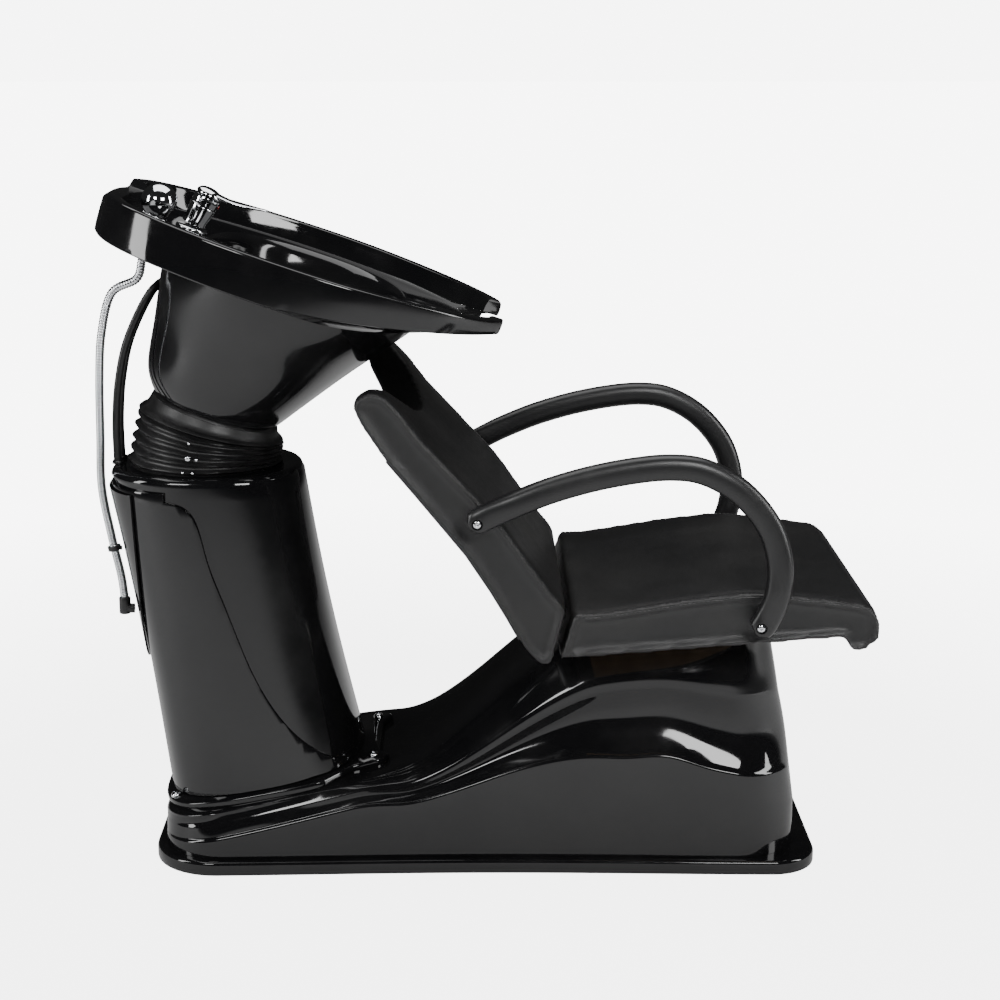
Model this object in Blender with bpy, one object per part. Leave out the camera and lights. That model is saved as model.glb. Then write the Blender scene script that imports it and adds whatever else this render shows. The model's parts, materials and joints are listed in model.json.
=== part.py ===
"""Shampoo backwash unit: a seat and a tilting basin on one long moulded pedestal.

Metres, +Z up, +X towards the sitter's knees, +Y to the sitter's left. The origin is the middle of the
floor plate's underside. The basin's own frame has U forwards along the rim, V across and W square to it.
"""
import math

import bmesh
import bpy
from mathutils import Matrix, Vector

for thing in list(bpy.data.objects):
    bpy.data.objects.remove(thing, do_unlink=True)

# ---------------------------------------------------------------- driving sizes
gap = 0.0003                    # clearance between pieces that touch

plate_length = 1.008
plate_half_rear = 0.206
plate_half_front = 0.200
plate_waist = 0.010
plate_thickness = 0.022
plate_corner_rear = 0.100
plate_corner_front = 0.070

skirt_inset = 0.014             # plate edge to pedestal wall
pedestal_wall = 0.005
pedestal_front_lean = 0.045
pedestal_front_bulge = 0.045
cove_depth = 0.020

foot_x = -0.335                 # column foot, on the pedestal's tail
foot_z = 0.108
foot_slope = math.radians(11)
flange_thickness = 0.009
flange_half_length = 0.163
flange_half_width = 0.166
flange_ear_x = 0.182
flange_ear_y = 0.088

column_top_x = -0.4235
column_top_z = 0.595
column_half_length_top = 0.145
column_half_length_foot = 0.151
column_half_width_top = 0.130
column_half_width_foot = 0.148
column_wall = 0.004
cover_proud = 0.0045            # rear cover outside the column housing
panel_thickness = 0.0030
panel_standoff = 0.0021         # sealing gap between panel and cover

post_radius = 0.030
post_wall = 0.003
pivot_x = -0.420
pivot_z = 0.622
fork_half_width = 0.030
fork_cheek = 0.006
hinge_radius = 0.008
washer_thickness = 0.0015

rim_x = -0.250                  # middle of the basin's rim plane
rim_z = 0.918
basin_tilt = math.radians(18.4)
basin_rear = 0.320
basin_front = 0.291
basin_half_width = 0.273
rim_width = 0.020
band_height = 0.062
band_height_front = 0.020
basin_wall = 0.005
tap_deck_drop = 0.034
bowl_depth = 0.172
notch_half_width = 0.066
notch_depth = 0.095
waste_radius = 0.028
waste_nut_radius = waste_radius + 0.004
waste_u = -0.025

bellows_folds = 5
bellows_radius = 0.119
bellows_fold_depth = 0.0075
bellows_wall = 0.0030
bellows_top_slope = math.radians(-15)
bellows_top_x = -0.4165
bellows_top_z = 0.6545
bellows_top_radius = 0.1135

tap_u = -0.190
tap_v = 0.018
tap_radius = 0.0205
tap_height = 0.036
tap_lean = math.radians(12)     # mixer body against the deck's normal, forwards
shank_radius = 0.0100
lever_length = 0.098

shower_u = -0.239
shower_v = -0.056
shower_head_radius = 0.0268
shower_handle_radius = 0.0100

rear_dip_half_width = 0.112     # low stretch of the rim behind the mixer
rear_dip_depth = 0.015

seat_half_width = 0.250
seat_slope = math.radians(4.6)
seat_under_x = 0.100            # rear end of the seat's underside
seat_under_z = 0.349
board_thickness = 0.012
board_margin = 0.032
seat_plate_thickness = 0.005

arm_y = 0.2785
arm_half_height = 0.0185
arm_half_width = 0.0155
arm_end_half_width = 0.0120
arm_bolt_radius = 0.0040
arm_head_radius = 0.0068
arm_boss_radius = 0.0115
arm_rear = (-0.013, 0.566)
arm_front = (0.391, 0.414)

hose_radius = 0.0060            # supply hoses
shower_hose_radius = 0.0068
hose_end_gap = 0.0010
waste_hose_radius = 0.0170

ring_count = 44                 # sides of the basin's rings
oval_count = 36                 # sides of the column's rings


# ---------------------------------------------------------------- materials
def material(name, colour, roughness, metallic=0.0):
    made = bpy.data.materials.new(name)
    made.use_nodes = True
    shader = made.node_tree.nodes["Principled BSDF"]
    shader.inputs["Base Color"].default_value = (*colour, 1.0)
    shader.inputs["Roughness"].default_value = roughness
    shader.inputs["Metallic"].default_value = metallic
    return made


gloss_black = material("gloss_black_plastic", (0.010, 0.010, 0.011), 0.08)
satin_black = material("satin_black_plastic", (0.016, 0.016, 0.017), 0.38)
rubber_black = material("black_rubber", (0.020, 0.020, 0.021), 0.55)
leather_black = material("black_leatherette", (0.018, 0.018, 0.019), 0.42)
chrome = material("chrome", (0.82, 0.83, 0.85), 0.08, 1.0)
steel = material("zinc_steel", (0.45, 0.46, 0.47), 0.40, 1.0)
painted_steel = material("black_painted_steel", (0.020, 0.020, 0.022), 0.45, 0.3)
plywood = material("plywood", (0.42, 0.30, 0.18), 0.70)
spiral_steel = material("stainless_spiral", (0.66, 0.67, 0.69), 0.25, 1.0)
button_red = material("temperature_button", (0.60, 0.04, 0.03), 0.30)


# ---------------------------------------------------------------- geometry helpers
def keep(name, mesh_builder, surface, sharp_degrees=32, origin=None):
    mesh = bpy.data.meshes.new(name)
    bmesh.ops.recalc_face_normals(mesh_builder, faces=mesh_builder.faces)
    mesh_builder.to_mesh(mesh)
    mesh_builder.free()
    mesh.shade_smooth()
    mesh.set_sharp_from_angle(angle=math.radians(sharp_degrees))
    piece = bpy.data.objects.new(name, mesh)
    bpy.context.scene.collection.objects.link(piece)
    mesh.materials.append(surface)
    if origin is not None:
        mesh.transform(Matrix.Translation(-Vector(origin)))
        piece.location = origin
    return piece


def loft(name, rings, surface, loop=False, origin=None):
    """Skins closed rings of equal count; a looped loft is a hollow wall, any other is capped."""
    builder = bmesh.new()
    rows = [[builder.verts.new(point) for point in ring] for ring in rings]
    following = rows[1:] + rows[:1] if loop else rows[1:]
    for low, high in zip(rows, following):
        for i in range(len(low)):
            j = (i + 1) % len(low)
            builder.faces.new((low[i], low[j], high[j], high[i]))
    if not loop:
        builder.faces.new(rows[0])
        builder.faces.new(rows[-1])
    return keep(name, builder, surface, origin=origin)


def turned(name, profile, place, axis, surface, closed=False, count=24, origin=None):
    """Turns (radius, height) points about an axis; a closed profile makes a hollow ring."""
    spin = Vector(axis).normalized().to_track_quat("Z", "Y").to_matrix()
    rings = []
    for radius, height in profile:
        ring = []
        for i in range(count):
            angle = 2 * math.pi * i / count
            local = Vector((radius * math.cos(angle), radius * math.sin(angle), height))
            ring.append(Vector(place) + spin @ local)
        rings.append(ring)
    return loft(name, rings, surface, loop=closed, origin=origin)


def rod(name, start, end, radius, surface, count=24, edge=0.0):
    axis = Vector(end) - Vector(start)
    length = axis.length
    profile = [(radius, 0.0), (radius, length)]
    if edge:
        profile = [(radius - edge, 0.0), (radius, edge), (radius, length - edge), (radius - edge, length)]
    return turned(name, profile, start, axis, surface, count=count)


def sleeve(name, start, end, outer, inner, surface, count=24):
    axis = Vector(end) - Vector(start)
    length = axis.length
    profile = [(outer, 0.0), (outer, length), (inner, length), (inner, 0.0)]
    return turned(name, profile, start, axis, surface, closed=True, count=count)


def nut(name, place, axis, radius, bore, height, surface, sides=6):
    """A plain nut whose far face is a height along the axis from its place."""
    axis = Vector(axis).normalized()
    place = Vector(place)
    piece = rod(name, place, place + axis * height, radius, surface, count=sides)
    cut(piece, rod(name + "_bore", place - axis * 0.01, place + axis * (height + 0.01), bore, surface))
    return piece


def block(name, size, place, surface, turn=None, edge=0.0):
    builder = bmesh.new()
    bmesh.ops.create_cube(builder, size=1.0)
    matrix = Matrix.Translation(Vector(place)) @ (turn or Matrix.Identity(4)) @ Matrix.Diagonal((*size, 1.0))
    bmesh.ops.transform(builder, matrix=matrix, verts=builder.verts)
    if edge:
        bmesh.ops.bevel(builder, geom=list(builder.edges), offset=edge, segments=2, profile=0.5,
                        affect="EDGES")
    return keep(name, builder, surface)


def prism(name, outline, low, high, surface, across="Y"):
    """Extrudes an outline: (x, z) points across Y, or (x, y) points up Z."""
    rings = []
    for level in (low, high):
        if across == "Y":
            rings.append([Vector((a, level, b)) for a, b in outline])
        else:
            rings.append([Vector((a, b, level)) for a, b in outline])
    return loft(name, rings, surface)


def boolean(piece, tool, operation):
    tool.hide_render = True
    tool.display_type = "WIRE"
    modifier = piece.modifiers.new(operation.title(), "BOOLEAN")
    modifier.operation = operation
    modifier.solver = "EXACT"
    modifier.object = tool


def cut(piece, tool):
    boolean(piece, tool, "DIFFERENCE")


def join(piece, tool):
    boolean(piece, tool, "UNION")


def spline(points, per_span, closed=False):
    """Smooth curve through hand-chosen points."""
    points = [Vector(p) for p in points]
    last = len(points)
    spans = last if closed else last - 1
    result = []
    for k in range(spans):
        if closed:
            a, b, c, d = (points[(k + n) % last] for n in (-1, 0, 1, 2))
        else:
            b, c = points[k], points[k + 1]
            a = points[k - 1] if k else b * 2 - c
            d = points[k + 2] if k + 2 < last else c * 2 - b
        for n in range(per_span):
            t = n / per_span
            result.append(0.5 * (2 * b + (c - a) * t + (2 * a - 5 * b + 4 * c - d) * t * t
                                 + (3 * b - a - 3 * c + d) * t ** 3))
    if not closed:
        result.append(points[-1])
    return result


def resample(points, count, closed=False):
    """Evenly spaced points along a polyline."""
    loop = points + points[:1] if closed else points
    lengths = [0.0]
    for a, b in zip(loop, loop[1:]):
        lengths.append(lengths[-1] + (b - a).length)
    steps = count if closed else count - 1
    result = []
    k = 0
    for n in range(count):
        target = lengths[-1] * n / steps
        while k < len(lengths) - 2 and lengths[k + 1] < target:
            k += 1
        span = lengths[k + 1] - lengths[k]
        t = (target - lengths[k]) / span if span else 0.0
        result.append(loop[k].lerp(loop[k + 1], t))
    return result


def graph(points, x):
    """Smooth height over x through a few (x, height) points."""
    if x <= points[0][0]:
        return points[0][1]
    if x >= points[-1][0]:
        return points[-1][1]
    k = max(n for n in range(len(points) - 1) if points[n][0] <= x)

    def slope(n):
        low, high = max(n - 1, 0), min(n + 1, len(points) - 1)
        return (points[high][1] - points[low][1]) / (points[high][0] - points[low][0])

    (x0, y0), (x1, y1) = points[k], points[k + 1]
    run = x1 - x0
    t = (x - x0) / run
    return (y0 * (2 * t ** 3 - 3 * t * t + 1) + y1 * (3 * t * t - 2 * t ** 3)
            + run * slope(k) * (t ** 3 - 2 * t * t + t) + run * slope(k + 1) * (t ** 3 - t * t))


def oval(centre, half_x, half_y, power, slope, count=ring_count):
    """A soft-cornered oval in a plane that rises forwards by slope."""
    ring = []
    for i in range(count):
        angle = 2 * math.pi * i / count
        c, s = math.cos(angle), math.sin(angle)
        along = half_x * math.copysign(abs(c) ** (2 / power), c)
        across = half_y * math.copysign(abs(s) ** (2 / power), s)
        ring.append(Vector(centre) + Vector((along * math.cos(slope), across, along * math.sin(slope))))
    return ring


def offset_path(path, distance):
    """Moves each (x, z) point of a path sideways, to the left of its direction."""
    moved = []
    for k, point in enumerate(path):
        before = Vector(path[max(k - 1, 0)])
        after = Vector(path[min(k + 1, len(path) - 1)])
        along = (after - before).normalized()
        moved.append((point[0] - along.y * distance, point[1] + along.x * distance))
    return moved


def trimmed(path, amount):
    """Shortens a path of (x, z) points by an amount at each end."""
    points = [Vector(p) for p in path]
    points[0] += (points[1] - points[0]).normalized() * amount
    points[-1] += (points[-2] - points[-1]).normalized() * amount
    return [(p.x, p.y) for p in points]


def hose(name, route, radius, surface, resolution=2):
    points = resample(spline(route, 8), int(path_length(route) / (4 * radius)) + 2)
    curve = bpy.data.curves.new(name, "CURVE")
    curve.dimensions = "3D"
    curve.bevel_depth = radius
    curve.bevel_resolution = resolution
    curve.use_fill_caps = True
    line = curve.splines.new("POLY")
    line.points.add(len(points) - 1)
    for slot, point in zip(line.points, points):
        slot.co = (*point, 1.0)
    curve.materials.append(surface)
    piece = bpy.data.objects.new(name, curve)
    bpy.context.scene.collection.objects.link(piece)
    return piece


def path_length(route):
    return sum((Vector(b) - Vector(a)).length for a, b in zip(route, route[1:]))


# ---------------------------------------------------------------- floor plate
plate_rear_x = -plate_length / 2
plate_front_x = plate_length / 2


def plate_half(x):
    share = (x - plate_rear_x) / plate_length
    ends = plate_half_rear + (plate_half_front - plate_half_rear) * share
    return ends - plate_waist * math.sin(math.pi * share) ** 2


def plan_stations(inset, corner_rear, corner_front, sides=12, corner_steps=5, extra=()):
    """(x, half width) along a plan with rounded corners, from the rear to the front."""
    rear, front = plate_rear_x + inset, plate_front_x - inset
    stations = []
    for n in range(corner_steps + 1):
        angle = math.pi / 2 * n / corner_steps
        x = rear + corner_rear * (1 - math.cos(angle))
        stations.append((x, plate_half(x) - inset - corner_rear * (1 - math.sin(angle))))
    straight = [rear + corner_rear + (front - rear - corner_rear - corner_front) * n / sides
                for n in range(1, sides)]
    for x in sorted(straight + list(extra)):
        stations.append((x, plate_half(x) - inset))
    for n in range(corner_steps + 1):
        angle = math.pi / 2 * (1 - n / corner_steps)
        x = front - corner_front * (1 - math.cos(angle))
        stations.append((x, plate_half(x) - inset - corner_front * (1 - math.sin(angle))))
    return stations


def make_floor_plate():
    rings = []
    for inset, z in ((0.002, 0.0), (0.0, 0.003), (0.0, plate_thickness - 0.005),
                     (0.0015, plate_thickness - 0.0015), (0.005, plate_thickness)):
        stations = plan_stations(inset, plate_corner_rear - inset, plate_corner_front - inset)
        ring = [Vector((x, -half, z)) for x, half in stations]
        ring += [Vector((x, half, z)) for x, half in reversed(stations)]
        rings.append(ring)
    return loft("floor_plate", rings, gloss_black)


make_floor_plate()


# ---------------------------------------------------------------- pedestal shell
pedestal_base_z = plate_thickness + gap
seat_rise = math.tan(seat_slope)


def seat_under(x):
    """Height of the seat cushion's flat underside."""
    return seat_under_z + (x - seat_under_x) * seat_rise


def foot_plane(x):
    """Height of the tail's sloping top, under the column's foot flange."""
    return foot_z + (x - foot_x) * math.tan(foot_slope)


pedestal_top_drop = seat_plate_thickness + 2 * gap
tail_front_x = foot_x + 0.198
platform_rear_x = seat_under_x + 0.075


def deck(x):
    """Height of the deck along the middle: tail, sweep up, then the seat's platform."""
    if x <= tail_front_x:
        return foot_plane(x)
    if x >= platform_rear_x:
        return seat_under(x) - pedestal_top_drop
    low, high = foot_plane(tail_front_x), seat_under(platform_rear_x) - pedestal_top_drop
    run = platform_rear_x - tail_front_x
    t = (x - tail_front_x) / run
    rise_low, rise_high = math.tan(foot_slope) * run, seat_rise * run
    return (low * (2 * t ** 3 - 3 * t * t + 1) + high * (3 * t * t - 2 * t ** 3)
            + rise_low * (t ** 3 - 2 * t * t + t) + rise_high * (t ** 3 - t * t))


def share_at(x):
    return (x - plate_rear_x) / plate_length


lower_wave = [(0.00, 0.30), (0.30, 0.72), (0.40, 0.66), (0.50, 0.58), (0.60, 0.52), (0.70, 0.49),
              (0.78, 0.49), (0.88, 0.42), (1.00, 0.36)]
upper_wave = [(0.00, 0.60), (0.30, 0.88), (0.40, 0.80), (0.50, 0.75), (0.60, 0.75), (0.70, 0.79),
              (0.78, 0.79), (0.88, 0.75), (1.00, 0.70)]
deck_half = [(0.00, 0.175), (0.20, 0.170), (0.34, 0.150), (0.44, 0.125), (0.52, 0.112), (0.62, 0.112),
             (0.75, 0.128), (1.00, 0.150)]
cove_share = [(0.00, 0.00), (0.26, 0.05), (0.45, 0.60), (0.65, 1.00), (0.85, 0.90), (1.00, 0.60)]


def pedestal_section(x, half, shrink):
    """(y, z) points of one cross-section, from the bottom right over the deck to the bottom left."""
    share = share_at(x)
    base = pedestal_base_z
    top = deck(x) - shrink
    height = top - base
    low_z = base + height * graph(lower_wave, share)
    high_z = base + height * graph(upper_wave, share)
    wall = half - shrink
    cove = cove_depth * graph(cove_share, share)
    upper = wall - 0.008 - 0.4 * cove
    shoulder = min(graph(deck_half, share) - shrink, upper - 0.006)
    round_drop = min(0.014, 0.4 * (top - high_z))
    side = [(wall, base), (wall, low_z - 0.005), (wall - 0.0015, low_z - 0.001), (wall - 0.004, low_z)]
    steps = 5
    for n in range(1, steps + 1):
        t = n / steps
        y = (wall - 0.004) + (upper - wall + 0.004) * t - cove * math.sin(math.pi * t)
        side.append((y, low_z + (high_z - low_z) * t))
    side.append((upper - 0.003, high_z + 0.3 * (top - high_z)))
    side.append((shoulder + 0.45 * (upper - shoulder), high_z + 0.70 * (top - high_z)))
    side.append((shoulder + 0.004, top - 0.45 * round_drop))
    side.append((shoulder - 0.003, top - 0.12 * round_drop))
    side.append((shoulder - 0.014, top))
    return [(-y, z) for y, z in side] + [(y, z) for y, z in reversed(side)]


def pedestal_front(x, y, z, half):
    """Leans and bulges the front end, with the top still on the seat's plane."""
    t = min(max((share_at(x) - 0.70) / 0.28, 0.0), 1.0)
    weight = t * t * (3 - 2 * t)
    lean = pedestal_front_lean * max(z - 0.10, 0.0) / 0.25
    bulge = pedestal_front_bulge * (y / half) ** 2
    shift = weight * (lean + bulge)
    height = (z - pedestal_base_z) / (deck(x) - pedestal_base_z)
    return Vector((x - shift, y, z - shift * seat_rise * height))


def pedestal_rings(inset, shrink, drop, sides, corner_steps):
    corner_rear = plate_corner_rear - 0.6 * inset
    corner_front = plate_corner_front - 0.4 * inset
    stations = plan_stations(inset, corner_rear, corner_front, sides=sides, corner_steps=corner_steps,
                             extra=(tail_front_x, platform_rear_x))
    full = max(half for x, half in stations)
    rings = []
    for x, half in stations:
        ring = []
        for y, z in pedestal_section(x, half, shrink):
            point = pedestal_front(x, y, z, full)
            if z <= pedestal_base_z:
                point.z -= drop
            ring.append(point)
        rings.append(ring)
    return rings


def make_pedestal():
    outer = pedestal_rings(skirt_inset, 0.0, 0.0, 16, 4)
    shell = loft("pedestal_shell", outer, gloss_black)
    hollow = pedestal_rings(skirt_inset + pedestal_wall, pedestal_wall, 0.020, 16, 2)
    cut(shell, loft("pedestal_hollow", hollow, gloss_black))
    return shell


pedestal = make_pedestal()


# ---------------------------------------------------------------- column foot flange
up_foot = Vector((-math.sin(foot_slope), 0.0, math.cos(foot_slope)))
fore_foot = Vector((math.cos(foot_slope), 0.0, math.sin(foot_slope)))
foot_centre = Vector((foot_x, 0.0, foot_z))
flange_top = flange_thickness + gap
outlet_along = 0.075
outlet_radius = 0.024
foot_bolt_spots = [(flange_ear_x - 0.012, flange_ear_y), (flange_ear_x - 0.012, -flange_ear_y),
                   (-flange_half_length + 0.023, 0.105), (-flange_half_length + 0.023, -0.105)]
foot_bolt_radius = 0.004


def on_foot(along, across, up):
    return foot_centre + fore_foot * along + Vector((0, across, 0)) + up_foot * up


def flange_outline():
    """Half outline (along, across) of the flange: oval with two ears at the front."""
    ear = 0.022
    points = []
    power = 2 / 3.2
    for n in range(16):
        angle = math.pi * (1 - n / 18)
        c, s = math.cos(angle), math.sin(angle)
        points.append((flange_half_length * math.copysign(abs(c) ** power, c),
                       flange_half_width * s ** power))
    points = [p for p in points if p[0] < flange_ear_x - 0.090]
    points.append((flange_ear_x - 0.050, flange_ear_y + ear + 0.010))
    for n in range(6):
        angle = math.pi / 2 * (1 - n / 5)
        points.append((flange_ear_x - 0.012 + ear * math.cos(angle), flange_ear_y + ear * math.sin(angle)))
    points.append((flange_ear_x - 0.004, flange_ear_y - ear))
    return points


def make_flange():
    half = flange_outline()
    outline = [(a, -b) for a, b in half] + [(a, b) for a, b in reversed(half) if b > 0.0005]
    rings = []
    for up, inset in ((gap, 0.0), (flange_top - 0.0020, 0.0), (flange_top, 0.0020)):
        ring = []
        for a, b in outline:
            pull = 1 - inset / math.hypot(a, b)
            ring.append(on_foot(a * pull, b * pull, up))
        rings.append(ring)
    flange = loft("column_flange", rings, gloss_black)
    for along, across in foot_bolt_spots:
        cut(flange, rod("flange_bolt_bore", on_foot(along, across, -0.05), on_foot(along, across, 0.05),
                        foot_bolt_radius + gap, steel))
    cut(flange, rod("flange_waste_bore", on_foot(outlet_along, 0, -0.05), on_foot(outlet_along, 0, 0.05),
                    outlet_radius + gap, steel))
    return flange


make_flange()
for along, across in foot_bolt_spots:
    cut(pedestal, rod("tail_bolt_bore", on_foot(along, across, -0.030), on_foot(along, across, 0.030),
                      foot_bolt_radius + gap, steel))
cut(pedestal, rod("tail_waste_bore", on_foot(outlet_along, 0, -0.030), on_foot(outlet_along, 0, 0.030),
                  outlet_radius + gap, steel))


def dome_bolt(name, place, axis, shank, shank_length, head, surface):
    """A domed head standing off its seat by the gap, on a plain shank that runs back from it."""
    axis = Vector(axis).normalized()
    profile = [(shank * 0.8, -shank_length), (shank, -shank_length + 0.0015), (shank, gap), (head, gap),
               (head, gap + 0.25 * head), (0.80 * head, gap + 0.58 * head), (0.42 * head, gap + 0.74 * head),
               (0.40 * head, gap + 0.35 * head)]
    return turned(name, profile, place, axis, surface, count=10)


for number, (along, across) in enumerate(foot_bolt_spots, 1):
    dome_bolt(f"foot_bolt_{number}", on_foot(along, across, flange_top), up_foot, foot_bolt_radius, 0.016,
              0.0085, chrome)


# ---------------------------------------------------------------- column housing and rear cover
def column_ring(share, grow):
    """Share 0 is the foot, 1 the top; the ring's plane turns from the foot slope to level."""
    foot_mid = on_foot(0, 0, flange_top + gap)
    top_mid = Vector((column_top_x, 0.0, column_top_z))
    centre = foot_mid.lerp(top_mid, share)
    waist = -0.006 * math.sin(math.pi * share)
    half_x = column_half_length_foot + (column_half_length_top - column_half_length_foot) * share + waist
    half_y = column_half_width_foot + (column_half_width_top - column_half_width_foot) * share + waist
    slope = foot_slope * (1 - share) ** 2
    return oval(centre, half_x + grow, half_y + grow, 2.5, slope, oval_count)


def lowered(ring, drop):
    return [point - Vector((0, 0, drop)) for point in ring]


def make_column():
    levels = [0.0, 0.20, 0.40, 0.60, 0.80, 0.97]
    rings = [column_ring(share, 0.0) for share in levels]
    rings.append(lowered(column_ring(1.0, -0.002), 0.004))
    rings.append(lowered(column_ring(1.0, -0.006), 0.001))
    rings.append(column_ring(1.0, -0.012))
    rings.append(column_ring(1.0, -0.034))
    rings.append(lowered(column_ring(1.0, -0.034), column_wall))
    rings.append(lowered(column_ring(1.0, -0.012 - column_wall), column_wall))
    for share in reversed(levels[:-1]):
        rings.append(column_ring(share, -column_wall))
    return loft("column_housing", rings, gloss_black, loop=True)


make_column()


cover_edge = [(-0.475, 0.5600), (-0.445, 0.5500), (-0.427, 0.5250), (-0.410, 0.4600), (-0.388, 0.4000),
              (-0.352, 0.3050), (-0.318, 0.2420), (-0.280, 0.1950), (-0.235, 0.1600), (-0.205, 0.1500)]


def make_cover():
    """Rear cover: a second skin behind a sweeping edge, with its top below the column's shoulder."""
    levels = [0.004, 0.20, 0.40, 0.60, 0.80, 0.955]
    rings = [column_ring(share, gap + cover_proud) for share in levels[:-1]]
    rings.append(column_ring(levels[-1] - 0.006, gap + cover_proud))
    rings.append(column_ring(levels[-1], gap + cover_proud - 0.002))
    for share in reversed(levels):
        rings.append(column_ring(share, gap))
    cover = loft("column_cover", rings, gloss_black, loop=True)
    edge = [(p.x, p.y) for p in spline([Vector((x, z)) for x, z in cover_edge], 4)]
    outline = edge + [(-0.10, 0.150), (0.30, 0.150), (0.30, 0.70), (-0.475, 0.70)]
    cut(cover, prism("cover_front_cut", outline, -0.4, 0.4, gloss_black))
    outline = [(-0.205, 0.150), (0.30, 0.150), (0.30, 0.0), (-0.205, 0.0)]
    cut(cover, prism("cover_toe_cut", outline, -0.4, 0.4, gloss_black))
    return cover


make_cover()


def rear_x(z, grow):
    """x of the column's rear at a height, on the middle line."""
    ring_low, ring_high = column_ring(0.0, grow), column_ring(1.0, grow)
    low = min(ring_low, key=lambda p: p.x)
    high = min(ring_high, key=lambda p: p.x)
    return low.x + (high.x - low.x) * (z - low.z) / (high.z - low.z)


def make_access_panel():
    """Shield-shaped panel on the rear cover, wide at the top and pointed below."""
    levels = [0.38, 0.40, 0.44, 0.50, 0.60, 0.70, 0.80, 0.94]
    proud = cover_proud + panel_standoff
    rings = []
    for share in levels:
        outer = column_ring(share, proud + panel_thickness)
        inner = column_ring(share, proud)
        reach = 0.030 + 0.52 * ((share - levels[0]) / (levels[-1] - levels[0])) ** 0.6
        count = 12
        ring = []
        for side, row in ((1, outer), (-1, inner)):
            total = len(row)
            for n in range(count + 1):
                turn = 0.5 + side * reach * 0.5 * (n / count - 0.5)
                spot = turn * total
                base = int(spot)
                ring.append(row[base % total].lerp(row[(base + 1) % total], spot - base))
        rings.append(ring)
    return loft("access_panel", rings, gloss_black)


make_access_panel()


# ---------------------------------------------------------------- inner frame
def make_base_frame():
    """Steel bed on the floor plate, a block under the column foot and two posts under the seat."""
    bed = 0.030
    floor = pedestal_base_z
    rear, front = foot_x - 0.120, 0.400
    frame = block("base_frame", (front - rear, bed, bed), ((front + rear) / 2, -0.075, floor + bed / 2),
                  painted_steel)
    join(frame, block("bed_left", (front - rear, bed, bed), ((front + rear) / 2, 0.075, floor + bed / 2),
                      painted_steel))
    for x in (foot_x, 0.215, 0.37):
        join(frame, block("bed_cross", (bed, 0.16, bed * 0.98), (x, 0, floor + bed * 0.49), painted_steel))
    for side in (-1, 1):
        outline = [(foot_x - 0.090, floor + 0.012), (foot_x - 0.090, foot_plane(foot_x - 0.090) - 0.0062),
                   (foot_x + 0.050, foot_plane(foot_x + 0.050) - 0.0062), (foot_x + 0.050, floor + 0.012)]
        join(frame, prism("tail_block", outline, side * 0.075 - 0.012, side * 0.075 + 0.012, painted_steel))
    for x in (0.215, 0.370):
        top = deck(x - 0.018) - pedestal_wall - 0.0016
        join(frame, block("seat_post", (0.034, 0.090, top - floor - 0.010),
                          (x, 0, (top + floor + 0.010) / 2), painted_steel))
    return frame


make_base_frame()

post_foot_height = 0.006
post_base = on_foot(-0.010, 0.0, flange_top + gap)
pivot = Vector((pivot_x, 0.0, pivot_z))
post_axis = (pivot - post_base).normalized()
post_length = (pivot - post_base).length - 0.052


def make_post():
    top = post_base + post_axis * post_length
    lift = post_base + up_foot * (post_foot_height - 0.001)
    post = sleeve("column_post", lift, top, post_radius, post_radius - post_wall, painted_steel)
    foot = []
    for up in (0.0, post_foot_height):
        foot.append([post_base + fore_foot * a + Vector((0, b, 0)) + up_foot * up
                     for a, b in ((-0.075, -0.060), (0.048, -0.060), (0.048, 0.060), (-0.075, 0.060))])
    join(post, loft("post_foot", foot, painted_steel))
    return post


make_post()


def post_turn():
    """Rotation whose Z runs along the post and whose Y stays across."""
    z_axis = post_axis
    x_axis = Vector((0, 1, 0)).cross(z_axis).normalized()
    matrix = Matrix((x_axis, Vector((0, 1, 0)), z_axis)).transposed()
    return matrix.to_4x4()


def make_fork():
    """Post cap with two cheeks that carry the hinge bolt."""
    base = post_base + post_axis * (post_length + gap)
    cap = 0.008
    fork = block("tilt_fork", (0.070, 2 * fork_half_width, cap), base + post_axis * cap / 2, painted_steel,
                 post_turn())
    for side in (-1, 1):
        y = side * (fork_half_width - fork_cheek / 2)
        height = (pivot - base).length + 0.022
        middle = base + post_axis * height / 2 + Vector((0, y, 0))
        join(fork, block("fork_cheek", (0.046, fork_cheek, height), middle, painted_steel, post_turn()))
    bore = rod("fork_bore", pivot - Vector((0, 0.1, 0)), pivot + Vector((0, 0.1, 0)), hinge_radius + gap,
               steel)
    cut(fork, bore)
    return fork


make_fork()

# ---------------------------------------------------------------- basin frame of reference
rim_middle = Vector((rim_x, 0.0, rim_z))
fore_rim = Vector((math.cos(basin_tilt), 0.0, -math.sin(basin_tilt)))
up_rim = Vector((math.sin(basin_tilt), 0.0, math.cos(basin_tilt)))


def on_basin(u, v, w):
    return rim_middle + fore_rim * u + Vector((0, v, 0)) + up_rim * w


def basin_coordinates(point):
    offset = Vector(point) - rim_middle
    return offset.dot(fore_rim), offset.y, offset.dot(up_rim)


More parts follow.
